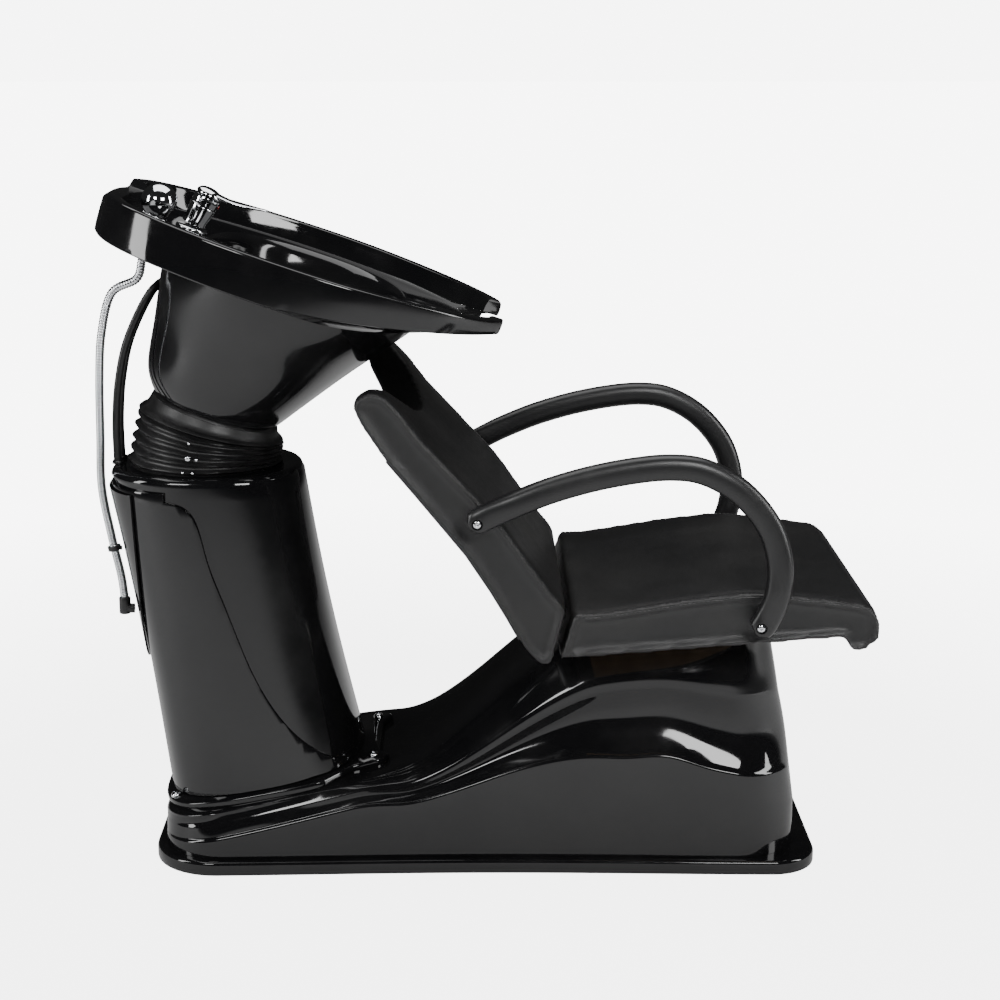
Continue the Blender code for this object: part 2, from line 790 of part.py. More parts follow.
def rim_outline(inset):
    """Closed (u, v) outline of the rim, wide in the middle, rounded at the rear, narrow in front."""
    wide = basin_half_width
    half = [(-basin_rear, 0.0), (-basin_rear + 0.008, 0.38 * wide), (-basin_rear + 0.048, 0.68 * wide),
            (-basin_rear + 0.135, 0.885 * wide), (-0.085, 0.985 * wide), (0.02, wide),
            (0.105, 0.93 * wide), (basin_front - 0.098, 0.765 * wide), (basin_front - 0.042, 0.60 * wide),
            (basin_front - 0.010, 0.455 * wide), (basin_front, 0.37 * wide), (basin_front + 0.001, 0.0)]
    outline = [Vector((u, -v)) for u, v in half] + [Vector((u, v)) for u, v in reversed(half[1:-1])]
    points = resample(spline(outline, 12, closed=True), ring_count, closed=True)
    moved = []
    for k, point in enumerate(points):
        along = (points[(k + 1) % ring_count] - points[k - 1]).normalized()
        moved.append(point + Vector((-along.y, along.x)) * inset)
    return moved


rim_plan = rim_outline(0.0)


def band_drop(u):
    """Height of the apron band at a place along the rim: tall at the rear, thin at the front."""
    share = min(max((u + 0.05) / (basin_front + 0.05), 0.0), 1.0)
    return band_height + (band_height_front - band_height) * share ** 1.25


def rim_ring(inset, drop=0.0, band_share=None):
    ring = []
    for point, outer in zip(rim_outline(inset), rim_plan):
        w = -drop if band_share is None else -band_drop(outer.x) * band_share
        ring.append(on_basin(point.x, point.y, w))
    return ring


def egg_ring(rear, front, half, depth, power=2.3, slope=0.0):
    """Oval ring in the basin's frame, matched point for point to the rim outline by direction."""
    middle, reach = (rear + front) / 2, (front - rear) / 2
    ring = []
    for point in rim_plan:
        angle = math.atan2(point.y / basin_half_width, (point.x - 0.0) / ((basin_rear + basin_front) / 2))
        c, s = math.cos(angle), math.sin(angle)
        u = reach * math.copysign(abs(c) ** (2 / power), c)
        v = half * math.copysign(abs(s) ** (2 / power), s)
        ring.append(on_basin(middle + u, v, -depth + slope * u))
    return ring


cavity_rear = tap_u + tap_radius + 0.014
cavity_front = basin_front - 0.145
cavity_half = basin_half_width - 0.052


def bowl_rings(grow):
    """Cavity rings from the mouth to the floor, outside ones grown by the wall."""
    mouth = tap_deck_drop
    shapes = [(cavity_rear, cavity_front, cavity_half, mouth + 0.000, 2.5),
              (cavity_rear + 0.008, cavity_front - 0.008, cavity_half - 0.008, mouth + 0.010, 2.5),
              (cavity_rear + 0.012, cavity_front - 0.018, cavity_half - 0.018, mouth + 0.035, 2.5),
              (cavity_rear + 0.018, cavity_front - 0.044, cavity_half - 0.045, mouth + 0.075, 2.4),
              (cavity_rear + 0.028, cavity_front - 0.080, cavity_half - 0.078, mouth + 0.108, 2.3),
              (cavity_rear + 0.045, cavity_front - 0.112, cavity_half - 0.110, bowl_depth - 0.008, 2.2),
              (cavity_rear + 0.070, cavity_front - 0.140, cavity_half - 0.140, bowl_depth, 2.1)]
    return [egg_ring(rear - grow, front + grow, half + grow, depth + grow, power)
            for rear, front, half, depth, power in shapes]


def make_basin():
    """One moulding: apron band, rim, tap deck and bowl, with a neck notch in front."""
    outer = [rim_ring(0.003, 0.0), rim_ring(0.0, 0.003), rim_ring(0.0, band_share=0.5),
             rim_ring(0.0015, band_share=0.97), rim_ring(0.004, band_share=1.0),
             rim_ring(0.016, band_share=1.0)]
    under = bowl_rings(basin_wall)[2:]
    inner = list(reversed(bowl_rings(0.0)))
    lip = [rim_ring(rim_width + 0.006, tap_deck_drop), rim_ring(rim_width + 0.002, 0.008),
           rim_ring(rim_width, 0.0015), rim_ring(rim_width - 0.004, -0.001)]
    basin = loft("basin", outer + under, gloss_black)
    cut(basin, loft("basin_cavity", inner + lip, gloss_black))
    return basin


basin = make_basin()


def cut_notch():
    """The opening for the neck: a round-ended slot between the prongs and a low saddle behind it."""
    start = basin_front - notch_depth + notch_half_width
    outline = [(basin_front + 0.05, -notch_half_width - 0.018),
               (basin_front - 0.010, -notch_half_width - 0.004)]
    for n in range(13):
        angle = math.pi * (1 - n / 12)
        outline.append((start - notch_half_width * math.sin(angle), notch_half_width * math.cos(angle)))
    outline += [(basin_front - 0.010, notch_half_width + 0.004),
                (basin_front + 0.05, notch_half_width + 0.018)]
    rings = [[on_basin(u, v, w) for u, v in outline] for w in (-0.12, 0.05)]
    cut(basin, loft("neck_notch", rings, gloss_black))
    saddle_axis = 0.055
    cut(basin, rod("neck_saddle", on_basin(0.090, 0, saddle_axis), on_basin(0.40, 0, saddle_axis), 0.100,
                   gloss_black, count=48))


cut_notch()

waste_up = -(bowl_depth)
cut(basin, rod("waste_bore", on_basin(waste_u, 0, waste_up - 0.05), on_basin(waste_u, 0, waste_up + 0.02),
               waste_radius - 0.006 + gap, steel))
cut(basin, rod("waste_seat", on_basin(waste_u, 0, waste_up + 0.5 * gap),
               on_basin(waste_u, 0, waste_up + 0.03), waste_radius + gap, steel))


def cut_rear_dip():
    """Lowers the middle of the rear rim, so that hoses and hands reach the tap deck."""
    half, depth = rear_dip_half_width, rear_dip_depth
    outline = [(-half - 0.012, 0.02), (-half - 0.010, -0.002), (-half, -depth + 0.002),
               (-half + 0.006, -depth),
               (half - 0.006, -depth), (half, -depth + 0.002), (half + 0.010, -0.002), (half + 0.012, 0.02)]
    rings = [[on_basin(u, v, w) for v, w in outline] for u in (-basin_rear - 0.05, -basin_rear + 0.048)]
    cut(basin, loft("rear_dip", rings, gloss_black))


cut_rear_dip()

cut(basin, rod("shank_bore", on_basin(tap_u, tap_v, -0.12), on_basin(tap_u, tap_v, 0.0),
               shank_radius + gap, steel))
cut(basin, rod("holder_bore", on_basin(shower_u, shower_v, -0.12), on_basin(shower_u, shower_v, 0.0),
               shower_handle_radius + 0.0045, steel))


# ---------------------------------------------------------------- shroud, collar and bellows
hose_slot_half_width = 0.036
hose_slot_depth = 0.152
shroud_wall = 0.004
shroud_shapes = [(-0.216, 0.186, 0.226, 0.050, 2.4, 0.0), (-0.211, 0.146, 0.199, 0.100, 2.4, 0.0),
                 (-0.202, 0.097, 0.157, 0.166, 2.3, 0.0), (-0.193, 0.048, 0.126, 0.236, 2.2, 0.0),
                 (-0.178, 0.026, 0.108, 0.268, 2.1, 0.0), (-0.168, 0.018, 0.100, 0.276, 2.0, 0.0)]


def shroud_rings(inset):
    return [egg_ring(rear + inset, front - inset, half - inset, depth, power, slope)
            for rear, front, half, depth, power, slope in shroud_shapes]


def make_shroud():
    """Outer shell under the bowl, open above and below."""
    shroud = loft("basin_shroud", shroud_rings(0.0) + list(reversed(shroud_rings(shroud_wall))), gloss_black,
                  loop=True)
    cut(shroud, shroud_relief())
    slot = [(-0.30, -hose_slot_half_width), (-0.12, -hose_slot_half_width), (-0.12, hose_slot_half_width),
            (-0.30, hose_slot_half_width)]
    rings = [[on_basin(u, v, w) for u, v in slot] for w in (-hose_slot_depth, 0.0)]
    cut(shroud, loft("hose_slot", rings, gloss_black))
    return shroud


def shroud_relief():
    """Everything above the basin's own underside, grown by a little more than the gap."""
    relief = 4 * gap
    rings = [rim_ring(-0.05, -0.10), rim_ring(-0.05, 0.0), rim_ring(-relief, band_share=0.5)]
    ring = []
    for point, outer in zip(rim_outline(0.004), rim_plan):
        ring.append(on_basin(point.x, point.y, -band_drop(outer.x) - relief))
    rings.append(ring)
    ring = []
    for point, outer in zip(rim_outline(0.016), rim_plan):
        ring.append(on_basin(point.x, point.y, -band_drop(outer.x) - relief))
    rings.append(ring)
    rings += bowl_rings(basin_wall + relief)[2:]
    return loft("shroud_relief", rings, gloss_black)


make_shroud()


def flat_ring(centre, radius_x, radius_y, slope, count=28):
    return oval(centre, radius_x, radius_y, 2.0, slope, count)


shroud_end_u = (-0.168 + 0.018) / 2
collar_top = on_basin(shroud_end_u, 0, -0.276)
bellows_top = Vector((bellows_top_x, 0.0, bellows_top_z))
collar_top_radius = 0.100


def make_collar():
    """Rubber collar that grips the shroud's lower end and flares out to the bellows."""
    wall = 0.005
    low = bellows_top + Vector((0, 0, gap))
    slope = bellows_top_slope
    rim_slope = -basin_tilt

    def ring(share, grow):
        centre = low.lerp(collar_top - up_rim * gap, share)
        radius = bellows_top_radius + (collar_top_radius - 0.001 - bellows_top_radius) * share ** 0.6 + grow
        half_x = radius
        if share == 1.0:
            half_x = (0.168 + 0.018) / 2 + grow - 0.001
        return flat_ring(centre, half_x, radius, slope + (rim_slope - slope) * share)

    shares = [0.0, 0.30, 0.70, 1.0]
    rings = [ring(share, 0.0) for share in shares] + [ring(share, -wall) for share in reversed(shares)]
    return loft("bowl_collar", rings, rubber_black, loop=True)


make_collar()


def bellows_ring(share, grow):
    low = Vector((column_top_x - 0.004, 0.0, column_top_z + gap))
    centre = low.lerp(bellows_top - Vector((0, 0, gap)), share)
    radius = bellows_radius + (bellows_top_radius - bellows_radius) * share + grow
    return flat_ring(centre, radius, radius * 0.985, bellows_top_slope * share)


def make_bellows():
    steps = bellows_folds * 2
    outer, inner = [], []
    for n in range(steps + 1):
        share = n / steps
        fold = -bellows_fold_depth * (1 - n % 2)
        if n in (0, steps):
            fold = -0.4 * bellows_fold_depth
        outer.append(bellows_ring(share, fold))
        inner.append(bellows_ring(share, fold - bellows_wall))
    return loft("bellows", outer + list(reversed(inner)), rubber_black, loop=True)


make_bellows()

stud_angle = math.radians(-97)
stud_shares = [0.12, 0.45, 0.45, 0.80, 0.12]


def make_studs():
    """Closing studs beside the seam on the bellows' right, the sitter facing forwards."""
    offsets = [-0.006, -0.002, 0.011, -0.004, 0.009]
    for number, (share, offset) in enumerate(zip(stud_shares, offsets), 1):
        radius = 0.0048 if number == 2 else 0.0028
        ring = bellows_ring(share, 0.0)
        centre = sum(ring, Vector()) / len(ring)
        reach = (ring[0] - centre).length
        angle = stud_angle + offset / reach
        away = Vector((math.cos(angle), math.sin(angle), 0))
        seat = centre + Vector((away.x * math.cos(bellows_top_slope * share), away.y,
                                away.x * math.sin(bellows_top_slope * share))) * (reach + 0.0006)
        turned(f"bellows_stud_{number}", [(radius * 0.7, 0.0), (radius, 0.0006), (radius, 0.0016),
                                          (radius * 0.7, 0.0028), (radius * 0.25, 0.0033)],
               seat, away, chrome, count=8)


make_studs()


# ---------------------------------------------------------------- tilt tongue and hinge
def make_tongue():
    """Plate under the bowl with a web that hangs between the fork's cheeks."""
    plate_w = -(bowl_depth + basin_wall + 0.0006)
    front = waste_u - waste_nut_radius - 0.003
    plate = [(-0.125, 0.045), (front, 0.045), (front, -0.045), (-0.125, -0.045)]
    rings = [[on_basin(u, v, w) for u, v in plate] for w in (plate_w - 0.005, plate_w)]
    tongue = loft("tilt_tongue", rings, painted_steel)
    u_pivot, _, w_pivot = basin_coordinates(pivot)
    half = fork_half_width - fork_cheek - washer_thickness - 2 * gap
    outline = [(-0.120, plate_w - 0.002), (front - 0.004, plate_w - 0.002)]
    for n in range(11):
        angle = math.pi * (0.0 - n / 10)
        outline.append((u_pivot + 0.024 * math.cos(angle), w_pivot + 0.024 * math.sin(angle)))
    rings = [[on_basin(u, v, w) for u, w in outline] for v in (-half, half)]
    join(tongue, loft("tongue_web", rings, painted_steel))
    cut(tongue, rod("tongue_bore", pivot - Vector((0, 0.1, 0)), pivot + Vector((0, 0.1, 0)),
                    hinge_radius + gap, steel))
    return tongue


tongue = make_tongue()


def make_hinge():
    half = fork_half_width
    turned("hinge_bolt", [(hinge_radius, -2 * half - 0.016), (hinge_radius, 0.0), (0.013, 0.0),
                          (0.013, 0.008), (0.011, 0.009)],
           pivot + Vector((0, -half - gap, 0)), (0, -1, 0), steel, count=24)
    nut("hinge_nut", pivot + Vector((0, half + gap, 0)), (0, 1, 0), 0.013, hinge_radius + gap, 0.010, steel)
    inner = half - fork_cheek - gap
    for name, side in (("hinge_washer_right", -1), ("hinge_washer_left", 1)):
        start = pivot + Vector((0, side * inner, 0))
        end = pivot + Vector((0, side * (inner - washer_thickness), 0))
        sleeve(name, start, end, 0.018, hinge_radius + gap, steel)


make_hinge()


# ---------------------------------------------------------------- waste
def make_waste():
    up = up_rim
    seat = on_basin(waste_u, 0, waste_up)
    throat = waste_radius - 0.006
    flange = turned("waste_flange",
                    [(waste_radius, gap), (waste_radius, 0.0020), (waste_radius - 0.003, 0.0030),
                     (throat - 0.003, 0.0016), (throat - 0.003, -0.030), (throat, -0.030), (throat, gap)],
                    seat, up, chrome, closed=True, count=28)
    nut("waste_nut", seat - up * (basin_wall + 2 * gap + 0.009), up, waste_nut_radius, throat + gap, 0.009,
        satin_black, sides=8)
    return flange


make_waste()


def make_strainer():
    """Hair basket: a rim, a cup with slots and a small pull knob."""
    seat = on_basin(waste_u, 0, waste_up)
    cup = waste_radius - 0.006 - 0.003 - 3 * gap
    depth = 0.016
    basket = turned("strainer", [(cup, -depth), (cup, 0.0034), (waste_radius - 0.004, 0.0036),
                                 (waste_radius - 0.005, 0.0048), (cup - 0.0024, 0.0046),
                                 (cup - 0.0024, -depth + 0.0018), (0.0040, -depth + 0.0018), (0.0040, 0.006),
                                 (0.0062, 0.009), (0.0055, 0.012), (0.0010, 0.0130)],
                    seat, up_rim, chrome, count=24, origin=seat)
    for n in range(4):
        angle = 2 * math.pi * (n + 0.5) / 4
        spot = seat + (fore_rim * math.cos(angle) + Vector((0, math.sin(angle), 0))) * (cup * 0.62)
        hole = rod("strainer_hole", spot - up_rim * 0.03, spot - up_rim * (depth - 0.006), 0.0024, chrome,
                   count=6)
        cut(basket, hole)
    return basket


make_strainer()

elbow_start = on_basin(waste_u, 0, waste_up - 0.0305)


def make_waste_hose():
    """Flexible waste from the bowl down beside the post to the outlet in the foot."""
    outlet = on_foot(outlet_along, 0, 0.0)
    route = [elbow_start, elbow_start - up_rim * 0.030, Vector((-0.345, 0, 0.655)),
             Vector((-0.340, 0.0, 0.560)), Vector((-0.325, 0.0, 0.400)), Vector((-0.285, 0.0, 0.250)),
             on_foot(outlet_along, 0, 0.075), on_foot(outlet_along, 0, 0.0395)]
    hose("waste_hose", route, waste_hose_radius, rubber_black)
    sleeve("waste_outlet", on_foot(outlet_along, 0, -0.040), on_foot(outlet_along, 0, 0.039),
           outlet_radius - gap, outlet_radius - 0.004, satin_black)
    return outlet


make_waste_hose()


# ---------------------------------------------------------------- mixer tap
tap_seat = on_basin(tap_u, tap_v, -tap_deck_drop)
tap_axis = Vector((math.sin(basin_tilt + tap_lean), 0, math.cos(basin_tilt + tap_lean)))
tap_fore = Vector((tap_axis.z, 0, -tap_axis.x))
tap_base_height = 0.006
deck_thickness = 0.040


def on_tap(along, across, up):
    middle = tap_seat + up_rim * (tap_base_height + gap)
    return middle + tap_fore * along + Vector((0, across, 0)) + tap_axis * up


def make_tap():
    turned("tap_base_ring", [(tap_radius + 0.004, gap), (tap_radius + 0.004, 0.0040),
                             (tap_radius + 0.0025, tap_base_height), (shank_radius + gap, tap_base_height),
                             (shank_radius + gap, gap)], tap_seat, up_rim, chrome, closed=True, count=24)
    rod("tap_shank", tap_seat - up_rim * (deck_thickness + 0.014),
        tap_seat + up_rim * (tap_base_height - gap), shank_radius, steel, count=20)
    nut("tap_nut", tap_seat - up_rim * (deck_thickness + 0.009), up_rim, 0.0165, shank_radius + gap,
        0.009, steel)
    body = loft("tap_body", [flat_ring(on_tap(0, 0, 0.004), tap_radius * 0.86, tap_radius * 0.86,
                                       -basin_tilt - 0.5 * tap_lean),
                             flat_ring(on_tap(0, 0, 0.012), tap_radius * 0.90, tap_radius * 0.90,
                                       -basin_tilt - tap_lean),
                             flat_ring(on_tap(0, 0, tap_height - 0.002), tap_radius, tap_radius,
                                       -basin_tilt - tap_lean),
                             flat_ring(on_tap(0, 0, tap_height), tap_radius - 0.001, tap_radius - 0.001,
                                       -basin_tilt - tap_lean)], chrome)
    return body


make_tap()
cartridge_low = tap_height + gap
cartridge_high = tap_height + 0.0150


def make_cartridge():
    pivot_spot = on_tap(0, 0, cartridge_low)
    height = cartridge_high - cartridge_low
    turned("tap_cartridge", [(tap_radius - 0.001, 0.0), (tap_radius, 0.001), (tap_radius, height - 0.002),
                             (tap_radius - 0.002, height)], pivot_spot, tap_axis, chrome, count=24,
           origin=pivot_spot)
    spot = on_tap(tap_radius + gap, 0, cartridge_low + 0.5 * height)
    turned("tap_button", [(0.0030, 0.0), (0.0030, 0.0006), (0.0020, 0.0011)], spot, tap_fore, button_red,
           count=12)


make_cartridge()
lever_hinge = on_tap(-tap_radius, 0, cartridge_high + 2 * gap)


def make_lever():
    """Domed cap with a thin blade that rises a little forwards."""
    base = cartridge_high + 2 * gap
    cap = turned("tap_lever", [(tap_radius - 0.002, 0.0), (tap_radius, 0.002), (tap_radius - 0.001, 0.006),
                               (0.72 * tap_radius, 0.0105), (0.30 * tap_radius, 0.0125)],
                 on_tap(0, 0, base), tap_axis, chrome, count=24, origin=lever_hinge)
    reach = lever_length - tap_radius
    stations = [(-0.004, 0.0055, 0.0150, 0.0045), (0.30 * reach, 0.0085, 0.0135, 0.0038),
                (0.62 * reach, 0.0150, 0.0095, 0.0028), (0.9 * reach, 0.0225, 0.0070, 0.0020),
                (reach, 0.0250, 0.0050, 0.0014)]
    rings = []
    for along, up, half, thick in stations:
        ring = []
        for n in range(12):
            angle = 2 * math.pi * n / 12
            ring.append(on_tap(along + 0.5 * tap_radius, half * math.cos(angle),
                               base + up + thick * math.sin(angle)))
        rings.append(ring)
    join(cap, loft("lever_blade", rings, chrome))
    return cap


make_lever()


# ---------------------------------------------------------------- hand shower and its holder
shower_seat = on_basin(shower_u, shower_v, -tap_deck_drop)


def make_shower():
    bore = shower_handle_radius + 0.0045
    turned("shower_holder", [(bore + 0.0060, gap), (bore + 0.0060, 0.0030), (bore + 0.0045, 0.0050),
                             (shower_handle_radius + gap, 0.0050), (shower_handle_radius + gap, -0.046),
                             (bore - gap, -0.046), (bore - gap, gap)],
           shower_seat, up_rim, satin_black, closed=True, count=24)
    collar = 0.0050 + gap
    centre = collar + 0.70 * shower_head_radius
    profile = [(shower_handle_radius * 0.72, collar - 0.058), (shower_handle_radius, collar - 0.055),
               (shower_handle_radius, collar), (shower_handle_radius + 0.0035, collar),
               (shower_handle_radius + 0.0035, collar + 0.004)]
    for n in range(1, 10):
        angle = math.radians(38) + (math.pi - math.radians(45)) * n / 9
        profile.append((shower_head_radius * math.sin(angle),
                        centre + 0.012 - shower_head_radius * math.cos(angle)))
    handset = turned("hand_shower", profile, shower_seat, up_rim, chrome, count=24, origin=shower_seat)
    face_axis = (fore_rim * 0.93 - up_rim * 0.36).normalized()
    head = shower_seat + up_rim * (centre + 0.012)
    cut(handset, block("face_cut", (0.02, 0.08, 0.08), head + face_axis * (0.0185 + 0.010), chrome,
                       face_turn(face_axis)))
    turned("shower_face", [(0.0155, gap), (0.0155, 0.0025), (0.0130, 0.0035)], head + face_axis * 0.0185,
           face_axis, satin_black, count=24)
    return handset


def face_turn(axis):
    x_axis = axis.normalized()
    y_axis = Vector((0, 1, 0))
    z_axis = x_axis.cross(y_axis).normalized()
    return Matrix((x_axis, y_axis, z_axis)).transposed().to_4x4()


make_shower()


# ---------------------------------------------------------------- hoses
def make_supply_hoses():
    """Two hoses from the mixer's shank, out over the shroud's slot and down into the column's top."""
    shank_end = tap_seat - up_rim * (deck_thickness + 0.014 + hose_end_gap)
    for name, side in (("supply_hose_hot", -1), ("supply_hose_cold", 1)):
        start = shank_end + Vector((0, side * (hose_radius + gap), 0))
        y = side * 0.019
        route = [start, start - up_rim * 0.022, on_basin(-0.216, y, -0.132), Vector((-0.535, y, 0.790)),
                 Vector((-0.552, y, 0.725)), Vector((-0.5585, y, 0.660)),
                 Vector((-0.5585, y, column_top_z + 0.0063))]
        hose(name, route, hose_radius, rubber_black)
        spot = Vector((-0.5585, y, column_top_z))
        turned(name.replace("hose", "gland"), [(0.0085, gap), (0.0085, 0.0040), (0.0070, 0.0060)],
               spot, (0, 0, 1), satin_black, count=16)


make_supply_hoses()

fitting_z = 0.366
fitting_y = -0.020
clip_z = 0.462
clip_height = 0.007


def make_shower_hose():
    """Spiral hose from the hand shower, hanging behind the column, to the elbow low on its rear."""
    skin = cover_proud + panel_standoff + panel_thickness + gap
    elbow_radius = 0.0090
    wall = Vector((rear_x(fitting_z, skin) - gap, fitting_y, fitting_z))
    mouth = wall + Vector((-0.015, 0, 0.018))
    elbow = rod("shower_hose_fitting", mouth - Vector((0, 0, 0.026)), mouth, elbow_radius, satin_black,
                edge=0.001)
    join(elbow, rod("fitting_stem", wall, wall - Vector((0.015, 0, 0)), 0.0075, satin_black, count=16))
    start = shower_seat - up_rim * 0.0535
    route = [start, start - up_rim * 0.030, Vector((-0.552, -0.052, 0.860)), Vector((-0.570, -0.048, 0.800)),
             Vector((-0.577, -0.042, 0.730)), Vector((-0.5805, -0.034, 0.640)),
             Vector((-0.5830, -0.026, 0.560)), Vector((-0.5715, -0.022, 0.480)),
             Vector((-0.5600, -0.020, 0.420)),
             mouth + Vector((0, 0, hose_end_gap))]
    hose("shower_hose", route, shower_hose_radius, spiral_steel)
    line = spline(route, 24)
    spot = min(line, key=lambda p: abs(p.z - clip_z))
    beside = line[line.index(spot) - 1]
    axis = (beside - spot).normalized() * clip_height / 2
    bore = shower_hose_radius + 0.0014
    clip = sleeve("hose_clip", spot - axis, spot + axis, bore + 0.0022, bore, satin_black, count=20)
    panel_x = rear_x(clip_z, skin) - gap
    stem = (panel_x + spot.x + bore) / 2 + 0.0005
    join(clip, block("clip_stem", (abs(panel_x - spot.x - bore) - 0.0005, 0.006, clip_height * 0.8),
                     (stem, spot.y, spot.z), satin_black))


make_shower_hose()


# ---------------------------------------------------------------- seat
back_rear_line = [(-0.192, 0.722), (-0.183, 0.700), (-0.146, 0.644), (-0.101, 0.590), (-0.056, 0.535),
                  (-0.030, 0.503), (0.005, 0.450), (0.030, 0.408), (0.050, 0.372), (0.068, 0.349)]
back_front_line = [(-0.167, 0.750), (-0.142, 0.745), (-0.120, 0.722), (-0.093, 0.686), (-0.055, 0.644),
                   (-0.002, 0.588), (0.028, 0.554), (0.071, 0.493), (0.099, 0.455)]
seat_top_line = [(0.127, 0.428), (0.149, 0.426), (0.192, 0.431), (0.293, 0.448), (0.370, 0.457),
                 (0.422, 0.456), (0.498, 0.447), (0.548, 0.440)]
seat_front_x = 0.572
back_heel = (seat_under_x - 0.016, seat_under_z - 0.010)
pad_gap = 0.0010
back_toe = (seat_under_x - pad_gap, seat_under_z - 0.006)
strap_thickness = 0.0040
back_scoop_radius = 0.260       # low middle of the backrest's top, under the bowl
back_scoop_depth = 0.030
seat_board_front = seat_front_x - 0.060
seat_board_rear = seat_under_x + 0.045
back_board_half = seat_half_width - board_margin
arm_bolt_depth = 0.046


def seat_offset_point(x, up):
    """(x, z) above the seat's underside."""
    return x, seat_under(x) + up


def make_seat_cushion():
    outline = [seat_offset_point(seat_under_x + pad_gap, 0.0),
               seat_offset_point(seat_board_front + 0.008, 0.0),
               (seat_front_x - 0.030, 0.377), (seat_front_x - 0.010, 0.372), (seat_front_x, 0.384),
               (seat_front_x + 0.001, 0.404), (seat_front_x - 0.006, 0.427)]
    outline += list(reversed(seat_top_line))
    outline.append((seat_top_line[0][0] - 0.006, seat_top_line[0][1] - 0.008))
    cushion = prism("seat_cushion", outline, -seat_half_width, seat_half_width, leather_black)
    pocket = [seat_offset_point(seat_board_rear - gap, -0.02),
              seat_offset_point(seat_board_front + gap, -0.02),
              seat_offset_point(seat_board_front + gap, board_thickness + gap),
              seat_offset_point(seat_board_rear - gap, board_thickness + gap)]
    cut(cushion, prism("seat_pocket", pocket, -back_board_half - gap, back_board_half + gap, plywood))
    board = [seat_offset_point(seat_board_rear, 0.0), seat_offset_point(seat_board_front, 0.0),
             seat_offset_point(seat_board_front, board_thickness),
             seat_offset_point(seat_board_rear, board_thickness)]
    prism("seat_board", board, -back_board_half, back_board_half, plywood)
    return cushion


def make_back_cushion():
    seam_top = (seat_top_line[0][0] - 0.006 - pad_gap, seat_top_line[0][1] - 0.004)
    outline = list(back_front_line) + [(0.116, 0.436), seam_top]
    outline += [back_toe, back_heel]
    outline += list(reversed(back_rear_line)) + [(-0.188, 0.738)]
    cushion = prism("back_cushion", outline, -seat_half_width, seat_half_width, leather_black)
    top_x, top_z = back_front_line[0]
    away = Vector((0.05, 0.0, 0.05))
    spot = Vector((top_x, 0.0, top_z + back_scoop_radius - back_scoop_depth))
    cut(cushion, rod("back_scoop", spot - away * 3, spot + away * 3, back_scoop_radius, leather_black,
                     count=48))
    line = trimmed(back_rear_line[2:-1], 0.004)
    pocket = offset_path(line, -0.02) + list(reversed(offset_path(line, board_thickness + gap)))
    cut(cushion, prism("back_pocket", pocket, -back_board_half - gap, back_board_half + gap, plywood))
    board_line = trimmed(line, 2 * gap)
    board = board_line + list(reversed(offset_path(board_line, board_thickness)))
    prism("back_board", board, -back_board_half, back_board_half, satin_black)
    return cushion


seat_cushion = make_seat_cushion()
back_cushion = make_back_cushion()


def make_seat_frame():
    """Steel plate between pedestal and seat board, with two straps that run up the back board."""
    low, high = -seat_plate_thickness - gap, -gap
    rear, front = seat_under_x + 0.085, 0.425
    plate = [seat_offset_point(rear, low), seat_offset_point(front, low), seat_offset_point(front, high),
             seat_offset_point(rear, high)]
    frame = prism("seat_frame", plate, -0.120, 0.120, painted_steel)
    for side in (-1, 1):
        line = back_rear_line[4:] + [back_heel, back_toe, seat_offset_point(seat_under_x + 0.035, 0.0),
                                     seat_offset_point(rear + 0.02, 0.0)]
        strap = offset_path(line, -3 * gap) + list(reversed(offset_path(line, -3 * gap - strap_thickness)))
        join(frame, prism("back_strap", strap, side * 0.105 - 0.015, side * 0.105 + 0.015, painted_steel))
    return frame


make_seat_frame()


# ---------------------------------------------------------------- armrests
arm_route = [(-0.024, 0.562), (0.004, 0.577), (0.040, 0.594), (0.090, 0.614), (0.150, 0.6315),
             (0.210, 0.6430), (0.258, 0.6470), (0.300, 0.6420), (0.342, 0.6220), (0.376, 0.5920),
             (0.402, 0.5530), (0.415, 0.5050), (0.4125, 0.4600), (0.399, 0.4230), (0.386, 0.4040)]


def make_arm(name, side):
    line = resample(spline([Vector(p) for p in arm_route], 6), 21)
    rings = []
    for k, point in enumerate(line):
        along = (line[min(k + 1, len(line) - 1)] - line[max(k - 1, 0)]).normalized()
        share = k / (len(line) - 1)
        ends = max(0.0, 1 - min(share, 1 - share) / 0.12)
        half_width = arm_half_width + (arm_end_half_width - arm_half_width) * min(1.0, ends * 1.6)
        half_height = arm_half_height * (1.0 if 0 < k < len(line) - 1 else 0.72)
        middle_y = arm_y - (arm_half_width - half_width)
        ring = []
        for n in range(10):
            angle = 2 * math.pi * n / 10
            c, s = math.cos(angle), math.sin(angle)
            lift = half_height * math.copysign(abs(s) ** 0.85, s)
            across = half_width * math.copysign(abs(c) ** 0.75, c)
            ring.append(Vector((point.x - along.y * lift, side * (middle_y + across),
                                point.y + along.x * lift)))
        rings.append(ring)
    arm = loft(name, rings, satin_black)
    outer = arm_y - arm_half_width + 2 * arm_end_half_width
    for x, z in (arm_rear, arm_front):
        join(arm, rod("arm_boss", (x, side * (seat_half_width + gap), z), (x, side * arm_y, z),
                      arm_boss_radius, satin_black, count=18))
        cut(arm, rod("arm_bore", (x, side * 0.20, z), (x, side * 0.34, z), arm_bolt_radius + gap, steel,
                     count=14))
        cut(arm, rod("arm_recess", (x, side * (outer - 0.006), z), (x, side * 0.34, z),
                     arm_head_radius + 0.0012, steel, count=20))
    return arm


